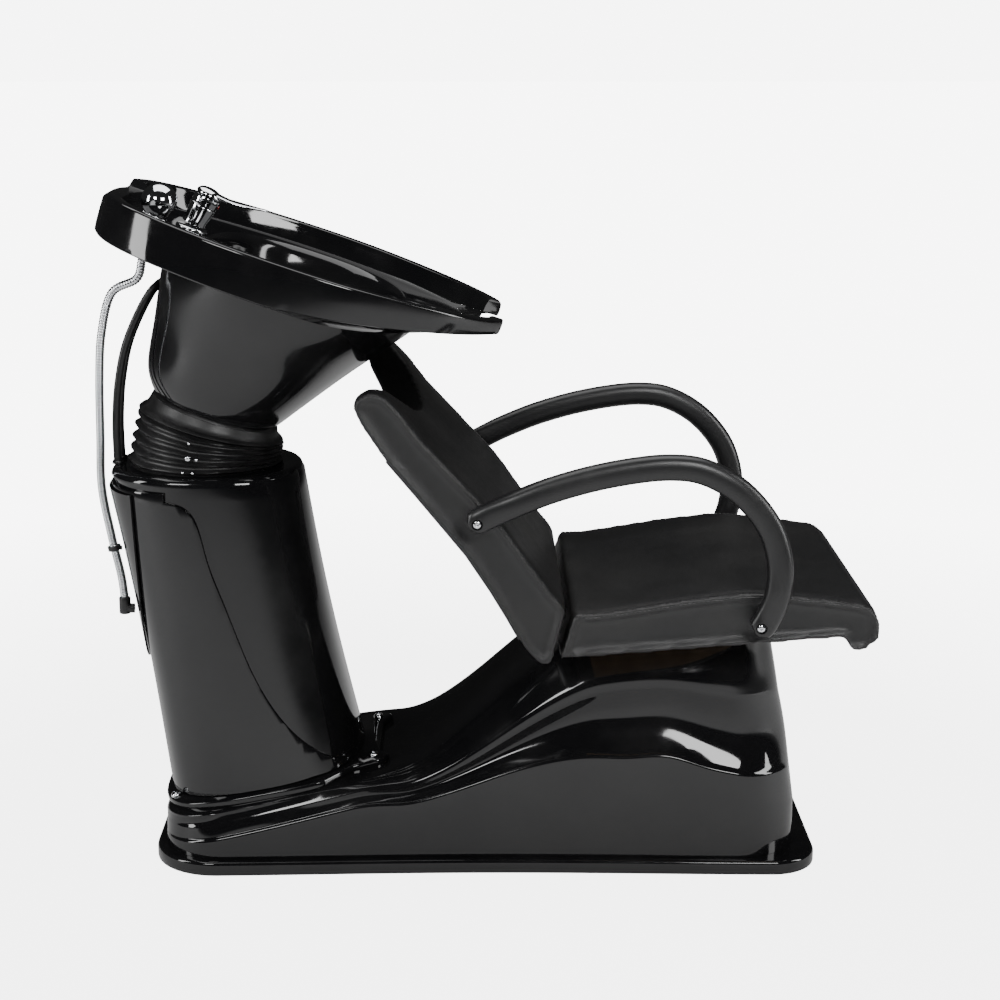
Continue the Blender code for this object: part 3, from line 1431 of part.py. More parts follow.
def make_arm_fixings(label, side):
    inner = arm_y - arm_half_width
    outer = inner + 2 * arm_end_half_width
    for place, (x, z) in (("rear", arm_rear), ("front", arm_front)):
        seat = Vector((x, side * (outer - 0.006), z))
        length = outer - 0.006 - seat_half_width + arm_bolt_depth - 0.004
        dome_bolt(f"arm_bolt_{place}_{label}", seat, (0, side, 0), arm_bolt_radius, length,
                  arm_head_radius, chrome)
        bore_start = (x, side * (seat_half_width - arm_bolt_depth), z)
        cushion = back_cushion if place == "rear" else seat_cushion
        cut(cushion, rod("pad_bore", bore_start, (x, side * (seat_half_width + 0.02), z),
                         arm_bolt_radius + gap, steel, count=10))


for label, side in (("right", -1), ("left", 1)):
    make_arm(f"armrest_{label}", side)
    make_arm_fixings(label, side)
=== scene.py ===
import json
import math

import bpy
from mathutils import Matrix, Vector


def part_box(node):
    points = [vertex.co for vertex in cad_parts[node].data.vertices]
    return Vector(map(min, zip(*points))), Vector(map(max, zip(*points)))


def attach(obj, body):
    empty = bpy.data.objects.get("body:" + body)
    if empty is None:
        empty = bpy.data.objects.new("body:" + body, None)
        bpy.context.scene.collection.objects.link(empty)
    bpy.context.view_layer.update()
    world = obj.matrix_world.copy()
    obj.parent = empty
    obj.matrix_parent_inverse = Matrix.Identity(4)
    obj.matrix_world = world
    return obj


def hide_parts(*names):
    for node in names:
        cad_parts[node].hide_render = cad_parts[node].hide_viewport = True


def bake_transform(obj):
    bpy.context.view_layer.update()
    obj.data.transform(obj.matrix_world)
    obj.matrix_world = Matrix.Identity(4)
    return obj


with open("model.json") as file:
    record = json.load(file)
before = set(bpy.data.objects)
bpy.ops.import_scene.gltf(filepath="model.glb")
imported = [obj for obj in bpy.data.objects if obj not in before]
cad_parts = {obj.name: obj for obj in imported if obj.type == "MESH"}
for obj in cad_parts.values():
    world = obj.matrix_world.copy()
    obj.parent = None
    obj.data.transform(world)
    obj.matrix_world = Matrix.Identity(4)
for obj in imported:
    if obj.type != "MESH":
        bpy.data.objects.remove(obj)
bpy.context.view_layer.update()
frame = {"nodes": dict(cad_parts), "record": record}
record = frame["record"]
bodyOf = {node: body for body, nodes in record["behaviour"]["bodies"].items() for node in nodes}
slotOf = {entry["node"]: entry["material_slot"] for entry in record["subparts"]}


# selecting and applying
def selectNone():
    if bpy.context.object and bpy.context.object.mode == "EDIT":
        bpy.ops.object.mode_set(mode="OBJECT")
    bpy.ops.object.select_all(action="DESELECT")


def selectOnly(piece):
    selectNone()
    piece.select_set(True)
    bpy.context.view_layer.objects.active = piece


def editAll(piece):
    selectOnly(piece)
    bpy.ops.object.mode_set(mode="EDIT")
    bpy.ops.mesh.select_mode(type="VERT")
    bpy.ops.mesh.select_all(action="SELECT")


def editVerts(piece, wanted):
    # wanted answers yes or no for a vertex number and its place
    editAll(piece)
    bpy.ops.mesh.select_all(action="DESELECT")
    bpy.ops.object.mode_set(mode="OBJECT")
    for number, vertex in enumerate(piece.data.vertices):
        vertex.select = wanted(number, vertex.co)
    bpy.ops.object.mode_set(mode="EDIT")


def leaveEdit():
    bpy.ops.object.mode_set(mode="OBJECT")


def applied(piece, kind, **settings):
    selectOnly(piece)
    modifier = piece.modifiers.new(kind.title(), kind)
    for name, value in settings.items():
        setattr(modifier, name, value)
    bpy.ops.object.modifier_apply(modifier=modifier.name)
    return piece


def smoothShade(piece, degrees=35):
    selectOnly(piece)
    bpy.ops.object.shade_smooth_by_angle(angle=math.radians(degrees))
    return piece


def carve(piece, tool, operation="DIFFERENCE", folded=False):
    applied(piece, "BOOLEAN", object=tool, operation=operation, solver="EXACT", use_self=folded)
    bpy.data.objects.remove(tool, do_unlink=True)
    return piece


def softEdges(piece, width, segments=2, degrees=38):
    applied(piece, "BEVEL", width=width, segments=segments, limit_method="ANGLE",
            angle_limit=math.radians(degrees), use_clamp_overlap=True)
    return smoothShade(piece, 40)


def skin(name, rings, ends="caps", degrees=35):
    # a grid with a column to spare, laid on the rings and merged along the seam
    selectNone()
    count = len(rings[0])
    bpy.ops.mesh.primitive_grid_add(x_subdivisions=count, y_subdivisions=len(rings) - 1, size=1)
    piece = bpy.context.object
    piece.name = piece.data.name = name
    piece.data.vertices.foreach_set("co", [value for ring in rings for point in list(ring) + [ring[0]]
                                           for value in point])
    last = (count + 1) * (len(rings) - 1)
    if ends == "loop":
        editVerts(piece, lambda n, p: n <= count or n >= last)
        bpy.ops.mesh.bridge_edge_loops()
    elif ends == "caps":
        editVerts(piece, lambda n, p: n <= count)
        bpy.ops.mesh.edge_face_add()
        leaveEdit()
        editVerts(piece, lambda n, p: n >= last)
        bpy.ops.mesh.edge_face_add()
    leaveEdit()
    editAll(piece)
    bpy.ops.mesh.remove_doubles(threshold=0.0000005)
    if ends != "open":
        bpy.ops.mesh.normals_make_consistent(inside=False)
    leaveEdit()
    return smoothShade(piece, degrees)


def slab(name, outline, low, high, across="Y"):
    # an outline in X and Z drawn out along Y, or in X and Y drawn out along Z
    if across == "Y":
        rings = [[(a, level, b) for a, b in outline] for level in (low, high)]
    else:
        rings = [[(a, b, level) for a, b in outline] for level in (low, high)]
    return skin(name, rings)


def bar(name, start, end, radius, sides=48):
    # a plain round bar between two points, for cutting or joining
    start, end = Vector(start), Vector(end)
    turn = (end - start).to_track_quat("Z", "Y")
    selectNone()
    bpy.ops.mesh.primitive_cylinder_add(vertices=sides, radius=radius, depth=(end - start).length,
                                        location=(start + end) / 2, rotation=turn.to_euler())
    made = bpy.context.object
    made.name = name
    bpy.ops.object.transform_apply(location=True, rotation=True, scale=True)
    return made


def turned(name, profile, place, axis, sides=64, ends="caps", degrees=35):
    # radius and height pairs turned about an axis
    turn = Vector(axis).normalized().to_track_quat("Z", "Y").to_matrix()
    rings = []
    for radius, height in profile:
        rings.append([Vector(place) + turn @ Vector((radius * math.cos(2 * math.pi * n / sides),
                                                      radius * math.sin(2 * math.pi * n / sides), height))
                      for n in range(sides)])
    return skin(name, rings, ends, degrees)


def curvePoints(points, perSpan, closed=False):
    # a smooth curve through the points
    points = [Vector(p) for p in points]
    total = len(points)
    result = []
    for k in range(total if closed else total - 1):
        if closed:
            a, b, c, d = (points[(k + n) % total] for n in (-1, 0, 1, 2))
        else:
            b, c = points[k], points[k + 1]
            a = points[k - 1] if k else b * 2 - c
            d = points[k + 2] if k + 2 < total else c * 2 - b
        for n in range(perSpan):
            t = n / perSpan
            result.append(0.5 * (2 * b + (c - a) * t + (2 * a - 5 * b + 4 * c - d) * t * t
                                 + (3 * b - a - 3 * c + d) * t ** 3))
    return result if closed else result + [points[-1]]


def evenly(points, count, closed=False):
    loop = points + points[:1] if closed else points
    lengths = [0.0]
    for a, b in zip(loop, loop[1:]):
        lengths.append(lengths[-1] + (b - a).length)
    steps = count if closed else count - 1
    result, k = [], 0
    for n in range(count):
        target = lengths[-1] * n / steps
        while k < len(lengths) - 2 and lengths[k + 1] < target:
            k += 1
        span = lengths[k + 1] - lengths[k]
        result.append(loop[k].lerp(loop[k + 1], (target - lengths[k]) / span if span else 0.0))
    return result


def ease(points, x):
    # smooth height over x through a few pairs
    if x <= points[0][0]:
        return points[0][1]
    if x >= points[-1][0]:
        return points[-1][1]
    k = max(n for n in range(len(points) - 1) if points[n][0] <= x)

    def slope(n):
        low, high = max(n - 1, 0), min(n + 1, len(points) - 1)
        return (points[high][1] - points[low][1]) / (points[high][0] - points[low][0])

    (x0, y0), (x1, y1) = points[k], points[k + 1]
    run, t = x1 - x0, (x - x0) / (x1 - x0)
    return (y0 * (2 * t ** 3 - 3 * t * t + 1) + y1 * (3 * t * t - 2 * t ** 3)
            + run * slope(k) * (t ** 3 - 2 * t * t + t) + run * slope(k + 1) * (t ** 3 - t * t))


def softOval(centre, halfX, halfY, power, slope, count):
    ring = []
    for n in range(count):
        c, s = math.cos(2 * math.pi * n / count), math.sin(2 * math.pi * n / count)
        along = halfX * math.copysign(abs(c) ** (2 / power), c)
        across = halfY * math.copysign(abs(s) ** (2 / power), s)
        ring.append(Vector(centre) + Vector((along * math.cos(slope), across, along * math.sin(slope))))
    return ring


# finishes
class Wire:
    def __init__(self, finish, socket):
        self.finish, self.socket = finish, socket

    def sum(self, operation, other=None, flip=False):
        values = [self] if other is None else [other, self] if flip else [self, other]
        return self.finish.node("ShaderNodeMath", {"operation": operation}, values)

    def __add__(self, other):
        return self.sum("ADD", other)

    def __radd__(self, other):
        return self.sum("ADD", other)

    def __sub__(self, other):
        return self.sum("SUBTRACT", other)

    def __rsub__(self, other):
        return self.sum("SUBTRACT", other, True)

    def __mul__(self, other):
        return self.sum("MULTIPLY", other)

    def __rmul__(self, other):
        return self.sum("MULTIPLY", other)

    def __pow__(self, other):
        return self.sum("POWER", other)


class Finish:
    def __init__(self, name, **fixed):
        self.material = bpy.data.materials.new(name)
        self.material.use_nodes = True
        self.tree = self.material.node_tree
        self.shader = self.tree.nodes["Principled BSDF"]
        for socket, value in fixed.items():
            self.shader.inputs[socket.replace("_", " ")].default_value = value
        self.place = self.node("ShaderNodeTexCoord", out="Object")

    def node(self, kind, settings=None, values=(), out=0):
        made = self.tree.nodes.new(kind)
        for name, value in (settings or {}).items():
            if name == "stops":
                while len(made.color_ramp.elements) < len(value):
                    made.color_ramp.elements.new(0.5)
                for element, (at, shade) in zip(made.color_ramp.elements, value):
                    element.position, element.color = at, (shade, shade, shade, 1.0)
            else:
                setattr(made, name, value)
        pairs = values.items() if isinstance(values, dict) else enumerate(values)
        for key, value in pairs:
            if isinstance(value, Wire):
                self.tree.links.new(value.socket, made.inputs[key])
            else:
                made.inputs[key].default_value = value
        return Wire(self, made.outputs[out])

    def noise(self, scale, detail=3.0, roughness=0.5, place=None):
        return self.node("ShaderNodeTexNoise", {}, {"Vector": place or self.place, "Scale": scale,
                                                    "Detail": detail, "Roughness": roughness})

    def cells(self, scale, feature="F1", place=None):
        return self.node("ShaderNodeTexVoronoi", {"feature": feature}, {"Vector": place or self.place,
                                                                        "Scale": scale})

    def stretched(self, sizes, turn=(0, 0, 0)):
        return self.node("ShaderNodeMapping", {}, {"Vector": self.place, "Scale": sizes, "Rotation": turn})

    def ramp(self, value, *stops):
        return self.node("ShaderNodeValToRGB", {"stops": stops}, [value])

    def blend(self, amount, first, second):
        colours = [(*c, 1.0) if isinstance(c, tuple) else c for c in (first, second)]
        return self.node("ShaderNodeMix", {"data_type": "RGBA"}, {0: amount, 6: colours[0], 7: colours[1]},
                         out=2)

    def send(self, socket, value):
        self.tree.links.new(value.socket, self.shader.inputs[socket])

    def bump(self, height, strength, distance):
        self.send("Normal", self.node("ShaderNodeBump", {}, {"Strength": strength, "Distance": distance,
                                                             "Height": height}))


glossLook = {"black": (0.0045, 0.0045, 0.0050), "dust": (0.020, 0.020, 0.020), "smooth": 0.045,
             "smudge": 0.12}


def glossPlastic():
    made = Finish("glossBlackPlastic", Roughness=glossLook["smooth"], IOR=1.49)
    smudge = made.ramp(made.noise(7.0, 5.0, 0.62), (0.42, 0.0), (0.72, 1.0))
    scratches = made.ramp(made.noise(60.0, 2.0, 0.5, made.stretched((1.0, 1.0, 14.0), (0.5, 0.3, 0.2))),
                          (0.66, 0.0), (0.72, 1.0))
    specks = made.ramp(made.cells(420.0), (0.015, 1.0), (0.05, 0.0))
    made.send("Roughness", smudge * glossLook["smudge"] + glossLook["smooth"] + scratches * 0.05)
    made.send("Base Color", made.blend(smudge * 0.25 + specks * 0.3, glossLook["black"], glossLook["dust"]))
    made.bump(made.noise(34.0, 2.0) + scratches * 0.05, 0.035, 0.001)
    return made.material


leatherLook = {"black": (0.0075, 0.0075, 0.0080), "worn": (0.020, 0.019, 0.018), "cell": 620.0,
               "smooth": 0.36}


def leatherette():
    made = Finish("blackLeatherette", Roughness=leatherLook["smooth"], IOR=1.5)
    warp = made.noise(180.0, 2.0)
    pores = made.cells(leatherLook["cell"], "DISTANCE_TO_EDGE")
    small = made.cells(leatherLook["cell"] * 2.3, "F1")
    creases = made.noise(26.0, 6.0, 0.62)
    worn = made.ramp(made.noise(5.0, 4.0), (0.45, 0.0), (0.75, 1.0))
    made.send("Base Color", made.blend(worn * 0.55 + pores * 0.2, leatherLook["black"], leatherLook["worn"]))
    made.send("Roughness", creases * 0.16 + worn * 0.06 + (leatherLook["smooth"] - 0.08))
    made.bump(made.ramp(pores, (0.0, 0.0), (0.12, 1.0)) * 0.6 + small * 0.25 + warp * 0.2 + creases * 1.6,
              0.30, 0.0006)
    return made.material


satinLook = {"black": (0.0080, 0.0080, 0.0085), "rubbed": (0.022, 0.022, 0.022), "smooth": 0.34}


def satinPlastic():
    made = Finish("satinBlackPlastic", Roughness=satinLook["smooth"], IOR=1.48)
    grain = made.noise(900.0, 2.0)
    rubbed = made.ramp(made.noise(9.0, 4.0, 0.6), (0.50, 0.0), (0.78, 1.0))
    made.send("Base Color", made.blend(rubbed * 0.5, satinLook["black"], satinLook["rubbed"]))
    made.send("Roughness", rubbed * 0.10 + grain * 0.08 + (satinLook["smooth"] - 0.04))
    made.bump(grain + made.cells(1300.0) * 0.5, 0.16, 0.0004)
    return made.material


rubberLook = {"black": (0.0065, 0.0065, 0.0068), "bloom": (0.030, 0.030, 0.029), "smooth": 0.42}


def rubber():
    made = Finish("blackRubber", Roughness=rubberLook["smooth"], IOR=1.5)
    bloom = made.ramp(made.noise(22.0, 6.0, 0.65), (0.46, 0.0), (0.80, 1.0))
    grain = made.noise(700.0, 3.0)
    made.send("Base Color", made.blend(bloom * 0.5, rubberLook["black"], rubberLook["bloom"]))
    made.send("Roughness", bloom * 0.18 + grain * 0.08 + (rubberLook["smooth"] - 0.06))
    made.bump(grain + bloom * 0.4, 0.20, 0.0004)
    return made.material


metalLook = {"chrome": (0.78, 0.79, 0.81), "film": (0.52, 0.54, 0.57), "zinc": (0.42, 0.43, 0.44),
             "rust": (0.16, 0.09, 0.05), "paint": (0.012, 0.012, 0.013), "spiral": (0.60, 0.61, 0.63)}


def chromePlate():
    made = Finish("chrome", Metallic=1.0, Roughness=0.05)
    film = made.ramp(made.noise(85.0, 5.0, 0.6), (0.44, 0.0), (0.78, 1.0))
    drops = made.ramp(made.cells(340.0), (0.10, 1.0), (0.16, 0.0))
    made.send("Base Color", made.blend(film * 0.5 + drops * 0.2, metalLook["chrome"], metalLook["film"]))
    made.send("Roughness", film * 0.10 + drops * 0.10 + 0.045)
    made.bump(made.noise(240.0, 2.0), 0.02, 0.0004)
    return made.material


def zincSteel():
    made = Finish("zincSteel", Metallic=1.0, Roughness=0.4)
    spangle = made.cells(130.0)
    stain = made.ramp(made.noise(46.0, 5.0, 0.6), (0.60, 0.0), (0.80, 1.0))
    made.send("Base Color", made.blend(stain * 0.5, metalLook["zinc"], metalLook["rust"]))
    made.send("Roughness", spangle * 0.25 + stain * 0.2 + 0.28)
    made.bump(spangle + made.noise(900.0), 0.10, 0.0003)
    return made.material


def paintedSteel():
    made = Finish("blackPaintedSteel", Roughness=0.42)
    chips = made.ramp(made.noise(60.0, 6.0, 0.7), (0.69, 0.0), (0.73, 1.0))
    made.send("Base Color", made.blend(chips, metalLook["paint"], metalLook["zinc"]))
    made.send("Metallic", chips * 0.8)
    made.send("Roughness", made.noise(240.0, 3.0) * 0.2 + 0.34)
    made.bump(made.noise(260.0, 3.0) - chips * 0.4, 0.14, 0.0004)
    return made.material


def spiralSteel():
    made = Finish("stainlessSpiral", Metallic=1.0, Roughness=0.22)
    film = made.ramp(made.noise(120.0, 4.0, 0.6), (0.40, 0.0), (0.75, 1.0))
    made.send("Base Color", made.blend(film * 0.6, metalLook["spiral"], metalLook["film"]))
    made.send("Roughness", film * 0.16 + 0.15)
    made.bump(made.noise(1500.0, 2.0), 0.06, 0.0002)
    return made.material


def plywood():
    made = Finish("plywood", Roughness=0.7)
    grain = made.noise(30.0, 6.0, 0.6, made.stretched((0.5, 7.0, 9.0)))
    plies = made.node("ShaderNodeTexWave", {"bands_direction": "Z"}, {"Vector": made.place, "Scale": 90.0,
                                                                      "Distortion": 1.5, "Detail": 2.0})
    made.send("Base Color", made.blend(grain * 0.7 + plies * 0.3, (0.42, 0.29, 0.17), (0.25, 0.15, 0.08)))
    made.send("Roughness", grain * 0.2 + 0.6)
    made.bump(grain + plies * 0.4, 0.25, 0.0006)
    return made.material


def buttonRed():
    made = Finish("temperatureButton", Roughness=0.25)
    ink = made.noise(300.0, 4.0)
    made.send("Base Color", made.blend(ink, (0.55, 0.03, 0.02), (0.38, 0.02, 0.02)))
    made.send("Roughness", ink * 0.15 + 0.2)
    return made.material


finishes = {"gloss_black_plastic": glossPlastic(), "satin_black_plastic": satinPlastic(),
            "black_rubber": rubber(), "black_leatherette": leatherette(), "chrome": chromePlate(),
            "zinc_steel": zincSteel(), "black_painted_steel": paintedSteel(),
            "stainless_spiral": spiralSteel(), "plywood": plywood(), "temperature_button": buttonRed()}
for name, node in frame["nodes"].items():
    for place in node.material_slots:
        place.material = finishes[slotOf[name]]
print("finishes made:", len(finishes))


def setIn(piece, body, slot, *nodes):
    # a body is one name, and the piece is hung on it; two names and two points may be given instead, but
    # these are not used and the piece is only baked where it stands
    piece.data.materials.clear()
    piece.data.materials.append(finishes[slot])
    if nodes:
        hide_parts(*nodes)
    if isinstance(body, str):
        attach(piece, body)
    else:
        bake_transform(piece)
    return piece


def standIn(piece, node):
    # takes over a CAD node's place, body and finish
    return setIn(piece, bodyOf[node], slotOf[node], node)


def tube(name, path, radiusAt, sides=20):
    # rings carried along a path without twisting; radiusAt answers for a length along it
    side, rings, length = Vector((0, 1, 0)), [], 0.0
    for k, point in enumerate(path):
        along = (path[min(k + 1, len(path) - 1)] - path[max(k - 1, 0)]).normalized()
        side = (side - along * side.dot(along)).normalized()
        up = along.cross(side)
        length += (point - path[max(k - 1, 0)]).length
        radius = radiusAt(length)
        rings.append([point + (side * math.cos(2 * math.pi * n / sides) + up
                               * math.sin(2 * math.pi * n / sides))
                      * radius for n in range(sides)])
    return skin(name, rings, degrees=60)


def pathLength(path):
    return sum((b - a).length for a, b in zip(path, path[1:]))


def polished(node, levels=2, sharp=48, bend=None):
    # a merged copy of a CAD piece, creased where it is sharp and subdivided
    selectNone()
    copy = frame["nodes"][node].copy()
    copy.data = frame["nodes"][node].data.copy()
    copy.name = copy.data.name = node + "Fine"
    bpy.context.scene.collection.objects.link(copy)
    copy.parent = None
    editAll(copy)
    bpy.ops.mesh.remove_doubles(threshold=0.00002)
    bpy.ops.mesh.tris_convert_to_quads(face_threshold=math.radians(45), shape_threshold=math.radians(60))
    bpy.ops.mesh.select_mode(type="EDGE")
    bpy.ops.mesh.select_all(action="DESELECT")
    bpy.ops.mesh.edges_select_sharp(sharpness=math.radians(sharp))
    bpy.ops.transform.edge_crease(value=0.9)
    leaveEdit()
    applied(copy, "SUBSURF", levels=levels, render_levels=levels)
    smoothShade(copy, 40)
    return setIn(copy, bend or bodyOf[node], slotOf[node], node)


# camera, first of all
viewSettings = {"place": (-0.030, -3.110, 1.2855), "down": 13.6, "lens": 74.88, "shift": 0.035}
eye = bpy.data.cameras.new("studioCamera")
eye.lens, eye.sensor_width, eye.shift_x = viewSettings["lens"], 36.0, viewSettings["shift"]
camera = bpy.data.objects.new("studioCamera", eye)
bpy.context.scene.collection.objects.link(camera)
camera.location = viewSettings["place"]
camera.rotation_euler = (math.radians(90 - viewSettings["down"]), 0, 0)
bpy.context.scene.camera = camera


# the tilting basin's own frame: along the rim, across it and square to it
basinFrame = {"middle": Vector((-0.250, 0.0, 0.918)), "tilt": math.radians(18.4), "rear": 0.320,
              "front": 0.291,
              "half": 0.273}
alongRim = Vector((math.cos(basinFrame["tilt"]), 0, -math.sin(basinFrame["tilt"])))
upRim = Vector((math.sin(basinFrame["tilt"]), 0, math.cos(basinFrame["tilt"])))


def onBasin(u, v, w):
    return basinFrame["middle"] + alongRim * u + Vector((0, v, 0)) + upRim * w


# the free hoses: a spiral one that hangs behind the column, and two that feed the mixer
hoseLook = {"shower": 0.0068, "supply": 0.0060, "pitch": 0.0042, "groove": 0.0010, "braid": 0.0028,
            "upperPoints": 90}
showerSeat = onBasin(-0.239, -0.056, -0.034)
tapSeat = onBasin(-0.190, 0.018, -0.034)


def spiralRadius(length):
    return hoseLook["shower"] - hoseLook["groove"] * (0.5 + 0.5
                                                      * math.cos(2 * math.pi * length / hoseLook["pitch"]))


def makeShowerHose():
    route = [showerSeat - upRim * 0.0535, showerSeat - upRim * 0.0835, Vector((-0.552, -0.052, 0.860)),
             Vector((-0.570, -0.048, 0.800)), Vector((-0.577, -0.042, 0.730)),
             Vector((-0.5805, -0.034, 0.640)),
             Vector((-0.5830, -0.026, 0.560)), Vector((-0.5715, -0.022, 0.480)),
             Vector((-0.5600, -0.020, 0.420)),
             Vector((-0.5560, -0.020, 0.385))]
    line = curvePoints(route, 60)
    path = evenly(line, int(pathLength(line) / hoseLook["pitch"] * 4) + 1)
    # the hose is made in two stretches, the first from the hand shower down
    upper, lower = path[:hoseLook["upperPoints"] + 1], path[hoseLook["upperPoints"]:]
    first = tube("showerHoseTop", upper, spiralRadius)
    setIn(first, ("basin", "shower", upper[-1], upper[0]), "stainless_spiral")
    pathLength(upper)
    second = tube("showerHoseHanging", lower, spiralRadius)
    setIn(second, ("base", "basin", (-0.583, -0.026, 0.500), upper[-1]), "stainless_spiral", "shower_hose")
    pathLength(lower)


makeShowerHose()


def makeSupplyHose(node, side):
    start = tapSeat - upRim * 0.055 + Vector((0, side * 0.00615, 0))
    y = side * 0.019
    route = [start, start - upRim * 0.022, onBasin(-0.216, y, -0.132), Vector((-0.535, y, 0.790)),
             Vector((-0.552, y, 0.725)), Vector((-0.5585, y, 0.660)), Vector((-0.5585, y, 0.6013))]
    line = curvePoints(route, 40)
    path = evenly(line, int(pathLength(line) / hoseLook["braid"]) + 1)
    hose = tube(node + "Rubber", path, lambda length: hoseLook["supply"], 24)
    setIn(hose, ("base", "basin", (-0.5585, y, 0.640), (-0.530, y, 0.800)), "black_rubber", node)
    pathLength(path)


makeSupplyHose("supply_hose_hot", -1)
makeSupplyHose("supply_hose_cold", 1)
print("hoses made")

basinLook = {"sides": 176, "rimWidth": 0.020, "band": 0.062, "bandFront": 0.020, "deckDrop": 0.034,
             "wall": 0.005, "notchHalf": 0.066, "notchDepth": 0.095, "edge": 0.0013}


def rimPlan(inset):
    wide, rear, front = basinFrame["half"], basinFrame["rear"], basinFrame["front"]
    half = [(-rear, 0.0), (-rear + 0.008, 0.38 * wide), (-rear + 0.048, 0.68 * wide),
            (-rear + 0.135, 0.885 * wide), (-0.085, 0.985 * wide), (0.02, wide), (0.105, 0.93 * wide),
            (front - 0.098, 0.765 * wide), (front - 0.042, 0.60 * wide), (front - 0.010, 0.455 * wide),
            (front, 0.37 * wide), (front + 0.001, 0.0)]
    outline = [Vector((u, -v)) for u, v in half] + [Vector((u, v)) for u, v in reversed(half[1:-1])]
    sides = basinLook["sides"]
    points = evenly(curvePoints(outline, 16, closed=True), sides, closed=True)
    moved = []
    for k, point in enumerate(points):
        along = (points[(k + 1) % sides] - points[k - 1]).normalized()
        moved.append(point + Vector((-along.y, along.x)) * inset)
    for turn in range(int(inset / 0.0016)):  # keeps tight corners from folding over
        moved = [(moved[k - 1] + moved[k] * 2 + moved[(k + 1) % sides]) / 4 for k in range(sides)]
    return moved


outerPlan = rimPlan(0.0)


def bandDrop(u):
    share = min(max((u + 0.05) / (basinFrame["front"] + 0.05), 0.0), 1.0)
    return basinLook["band"] + (basinLook["bandFront"] - basinLook["band"]) * share ** 1.25


def rimRing(inset, drop=0.0, share=None):
    return [onBasin(p.x, p.y, -drop if share is None else -bandDrop(o.x) * share)
            for p, o in zip(rimPlan(inset), outerPlan)]


def eggRing(rear, front, half, depth, power=2.3):
    middle, reach, ring = (rear + front) / 2, (front - rear) / 2, []
    for point in outerPlan:
        long = (basinFrame["rear"] + basinFrame["front"]) / 2
        angle = math.atan2(point.y / basinFrame["half"], point.x / long)
        c, s = math.cos(angle), math.sin(angle)
        ring.append(onBasin(middle + reach * math.copysign(abs(c) ** (2 / power), c),
                            half * math.copysign(abs(s) ** (2 / power), s), -depth))
    return ring


def smoothShapes(shapes, perSpan):
    # fills in between the rows of a table, each column along its own smooth curve
    columns = []
    for n in range(len(shapes[0])):
        columns.append([p.x for p in curvePoints([Vector((row[n], 0, 0)) for row in shapes], perSpan)])
    return list(zip(*columns))


def makeBasin():
    drop, wall = basinLook["deckDrop"], basinLook["wall"]
    rear, front, half = -0.1555, 0.146, 0.221
    bowl = [(rear, front, half, drop + 0.0015, 2.5), (rear + 0.008, front - 0.008, half - 0.008,
                                                      drop + 0.010, 2.5),
            (rear + 0.012, front - 0.018, half - 0.018, drop + 0.035, 2.5),
            (rear + 0.018, front - 0.044, half - 0.045, drop + 0.075, 2.4),
            (rear + 0.028, front - 0.080, half - 0.078, drop + 0.108, 2.3),
            (rear + 0.045, front - 0.112, half - 0.110, 0.164, 2.2),
            (rear + 0.070, front - 0.140, half - 0.140, 0.172, 2.1)]
    fine = smoothShapes(bowl, 4)
    under = [eggRing(a - wall, b + wall, c + wall, d + wall, e) for a, b, c, d, e in fine[8:]]
    outside = [rimRing(0.016, share=1.0), rimRing(0.0045, share=1.0), rimRing(0.0025, share=0.99),
               rimRing(0.0012, share=0.965), rimRing(0.0004, share=0.80), rimRing(0.0, share=0.5),
               rimRing(0.0, 0.0040), rimRing(0.0005, 0.0018), rimRing(0.0018, 0.0005), rimRing(0.0036, 0.0)]
    width = basinLook["rimWidth"]
    lip = [rimRing(width - 0.005, 0.0), rimRing(width - 0.0028, 0.0004), rimRing(width - 0.0008, 0.0018),
           rimRing(width, 0.0045), rimRing(width + 0.002, 0.010), rimRing(width + 0.0055, drop - 0.006),
           rimRing(width + 0.0080, drop - 0.0018), rimRing(width + 0.013, drop)]
    mouth = [eggRing(rear - 0.010, front + 0.010, half + 0.010, drop, 2.5),
             eggRing(rear - 0.004, front + 0.004, half + 0.004, drop + 0.0003, 2.5)]
    inside = mouth + [eggRing(*row) for row in fine]
    basin = skin("basinMoulding", list(reversed(under)) + outside + lip + inside)
    notch = basinLook["notchHalf"]
    start = basinFrame["front"] - basinLook["notchDepth"] + notch
    outline = [(basinFrame["front"] + 0.05, -notch - 0.018), (basinFrame["front"] - 0.010, -notch - 0.004)]
    for n in range(33):
        angle = math.pi * (1 - n / 32)
        outline.append((start - notch * math.sin(angle), notch * math.cos(angle)))
    outline += [(basinFrame["front"] - 0.010, notch + 0.004), (basinFrame["front"] + 0.05, notch + 0.018)]
    carve(basin, skin("notchTool", [[onBasin(u, v, w) for u, v in outline] for w in (-0.12, 0.05)]),
          folded=True)
    carve(basin, bar("saddleTool", onBasin(0.090, 0, 0.055), onBasin(0.40, 0, 0.055), 0.100, 120),
          folded=True)
    dip, low = 0.112, 0.015
    outline = [(-dip - 0.012, 0.02), (-dip - 0.010, -0.002), (-dip - 0.003, -low + 0.002),
               (-dip + 0.004, -low),
               (dip - 0.004, -low), (dip + 0.003, -low + 0.002), (dip + 0.010, -0.002), (dip + 0.012, 0.02)]
    carve(basin, skin("dipTool", [[onBasin(u, v, w) for v, w in outline] for u in (-0.370, -0.272)]),
          folded=True)
    softEdges(basin, basinLook["edge"])
    carve(basin, bar("wasteTool", onBasin(-0.025, 0, -0.22), onBasin(-0.025, 0, -0.15), 0.0223), folded=True)
    carve(basin, bar("shankTool", onBasin(-0.190, 0.018, -0.12), onBasin(-0.190, 0.018, 0.0), 0.0103),
          folded=True)
    carve(basin, bar("holderTool", onBasin(-0.239, -0.056, -0.12), onBasin(-0.239, -0.056, 0.0), 0.0145),
          folded=True)
    return standIn(smoothShade(basin, 40), "basin")


makeBasin()
print("basin made")

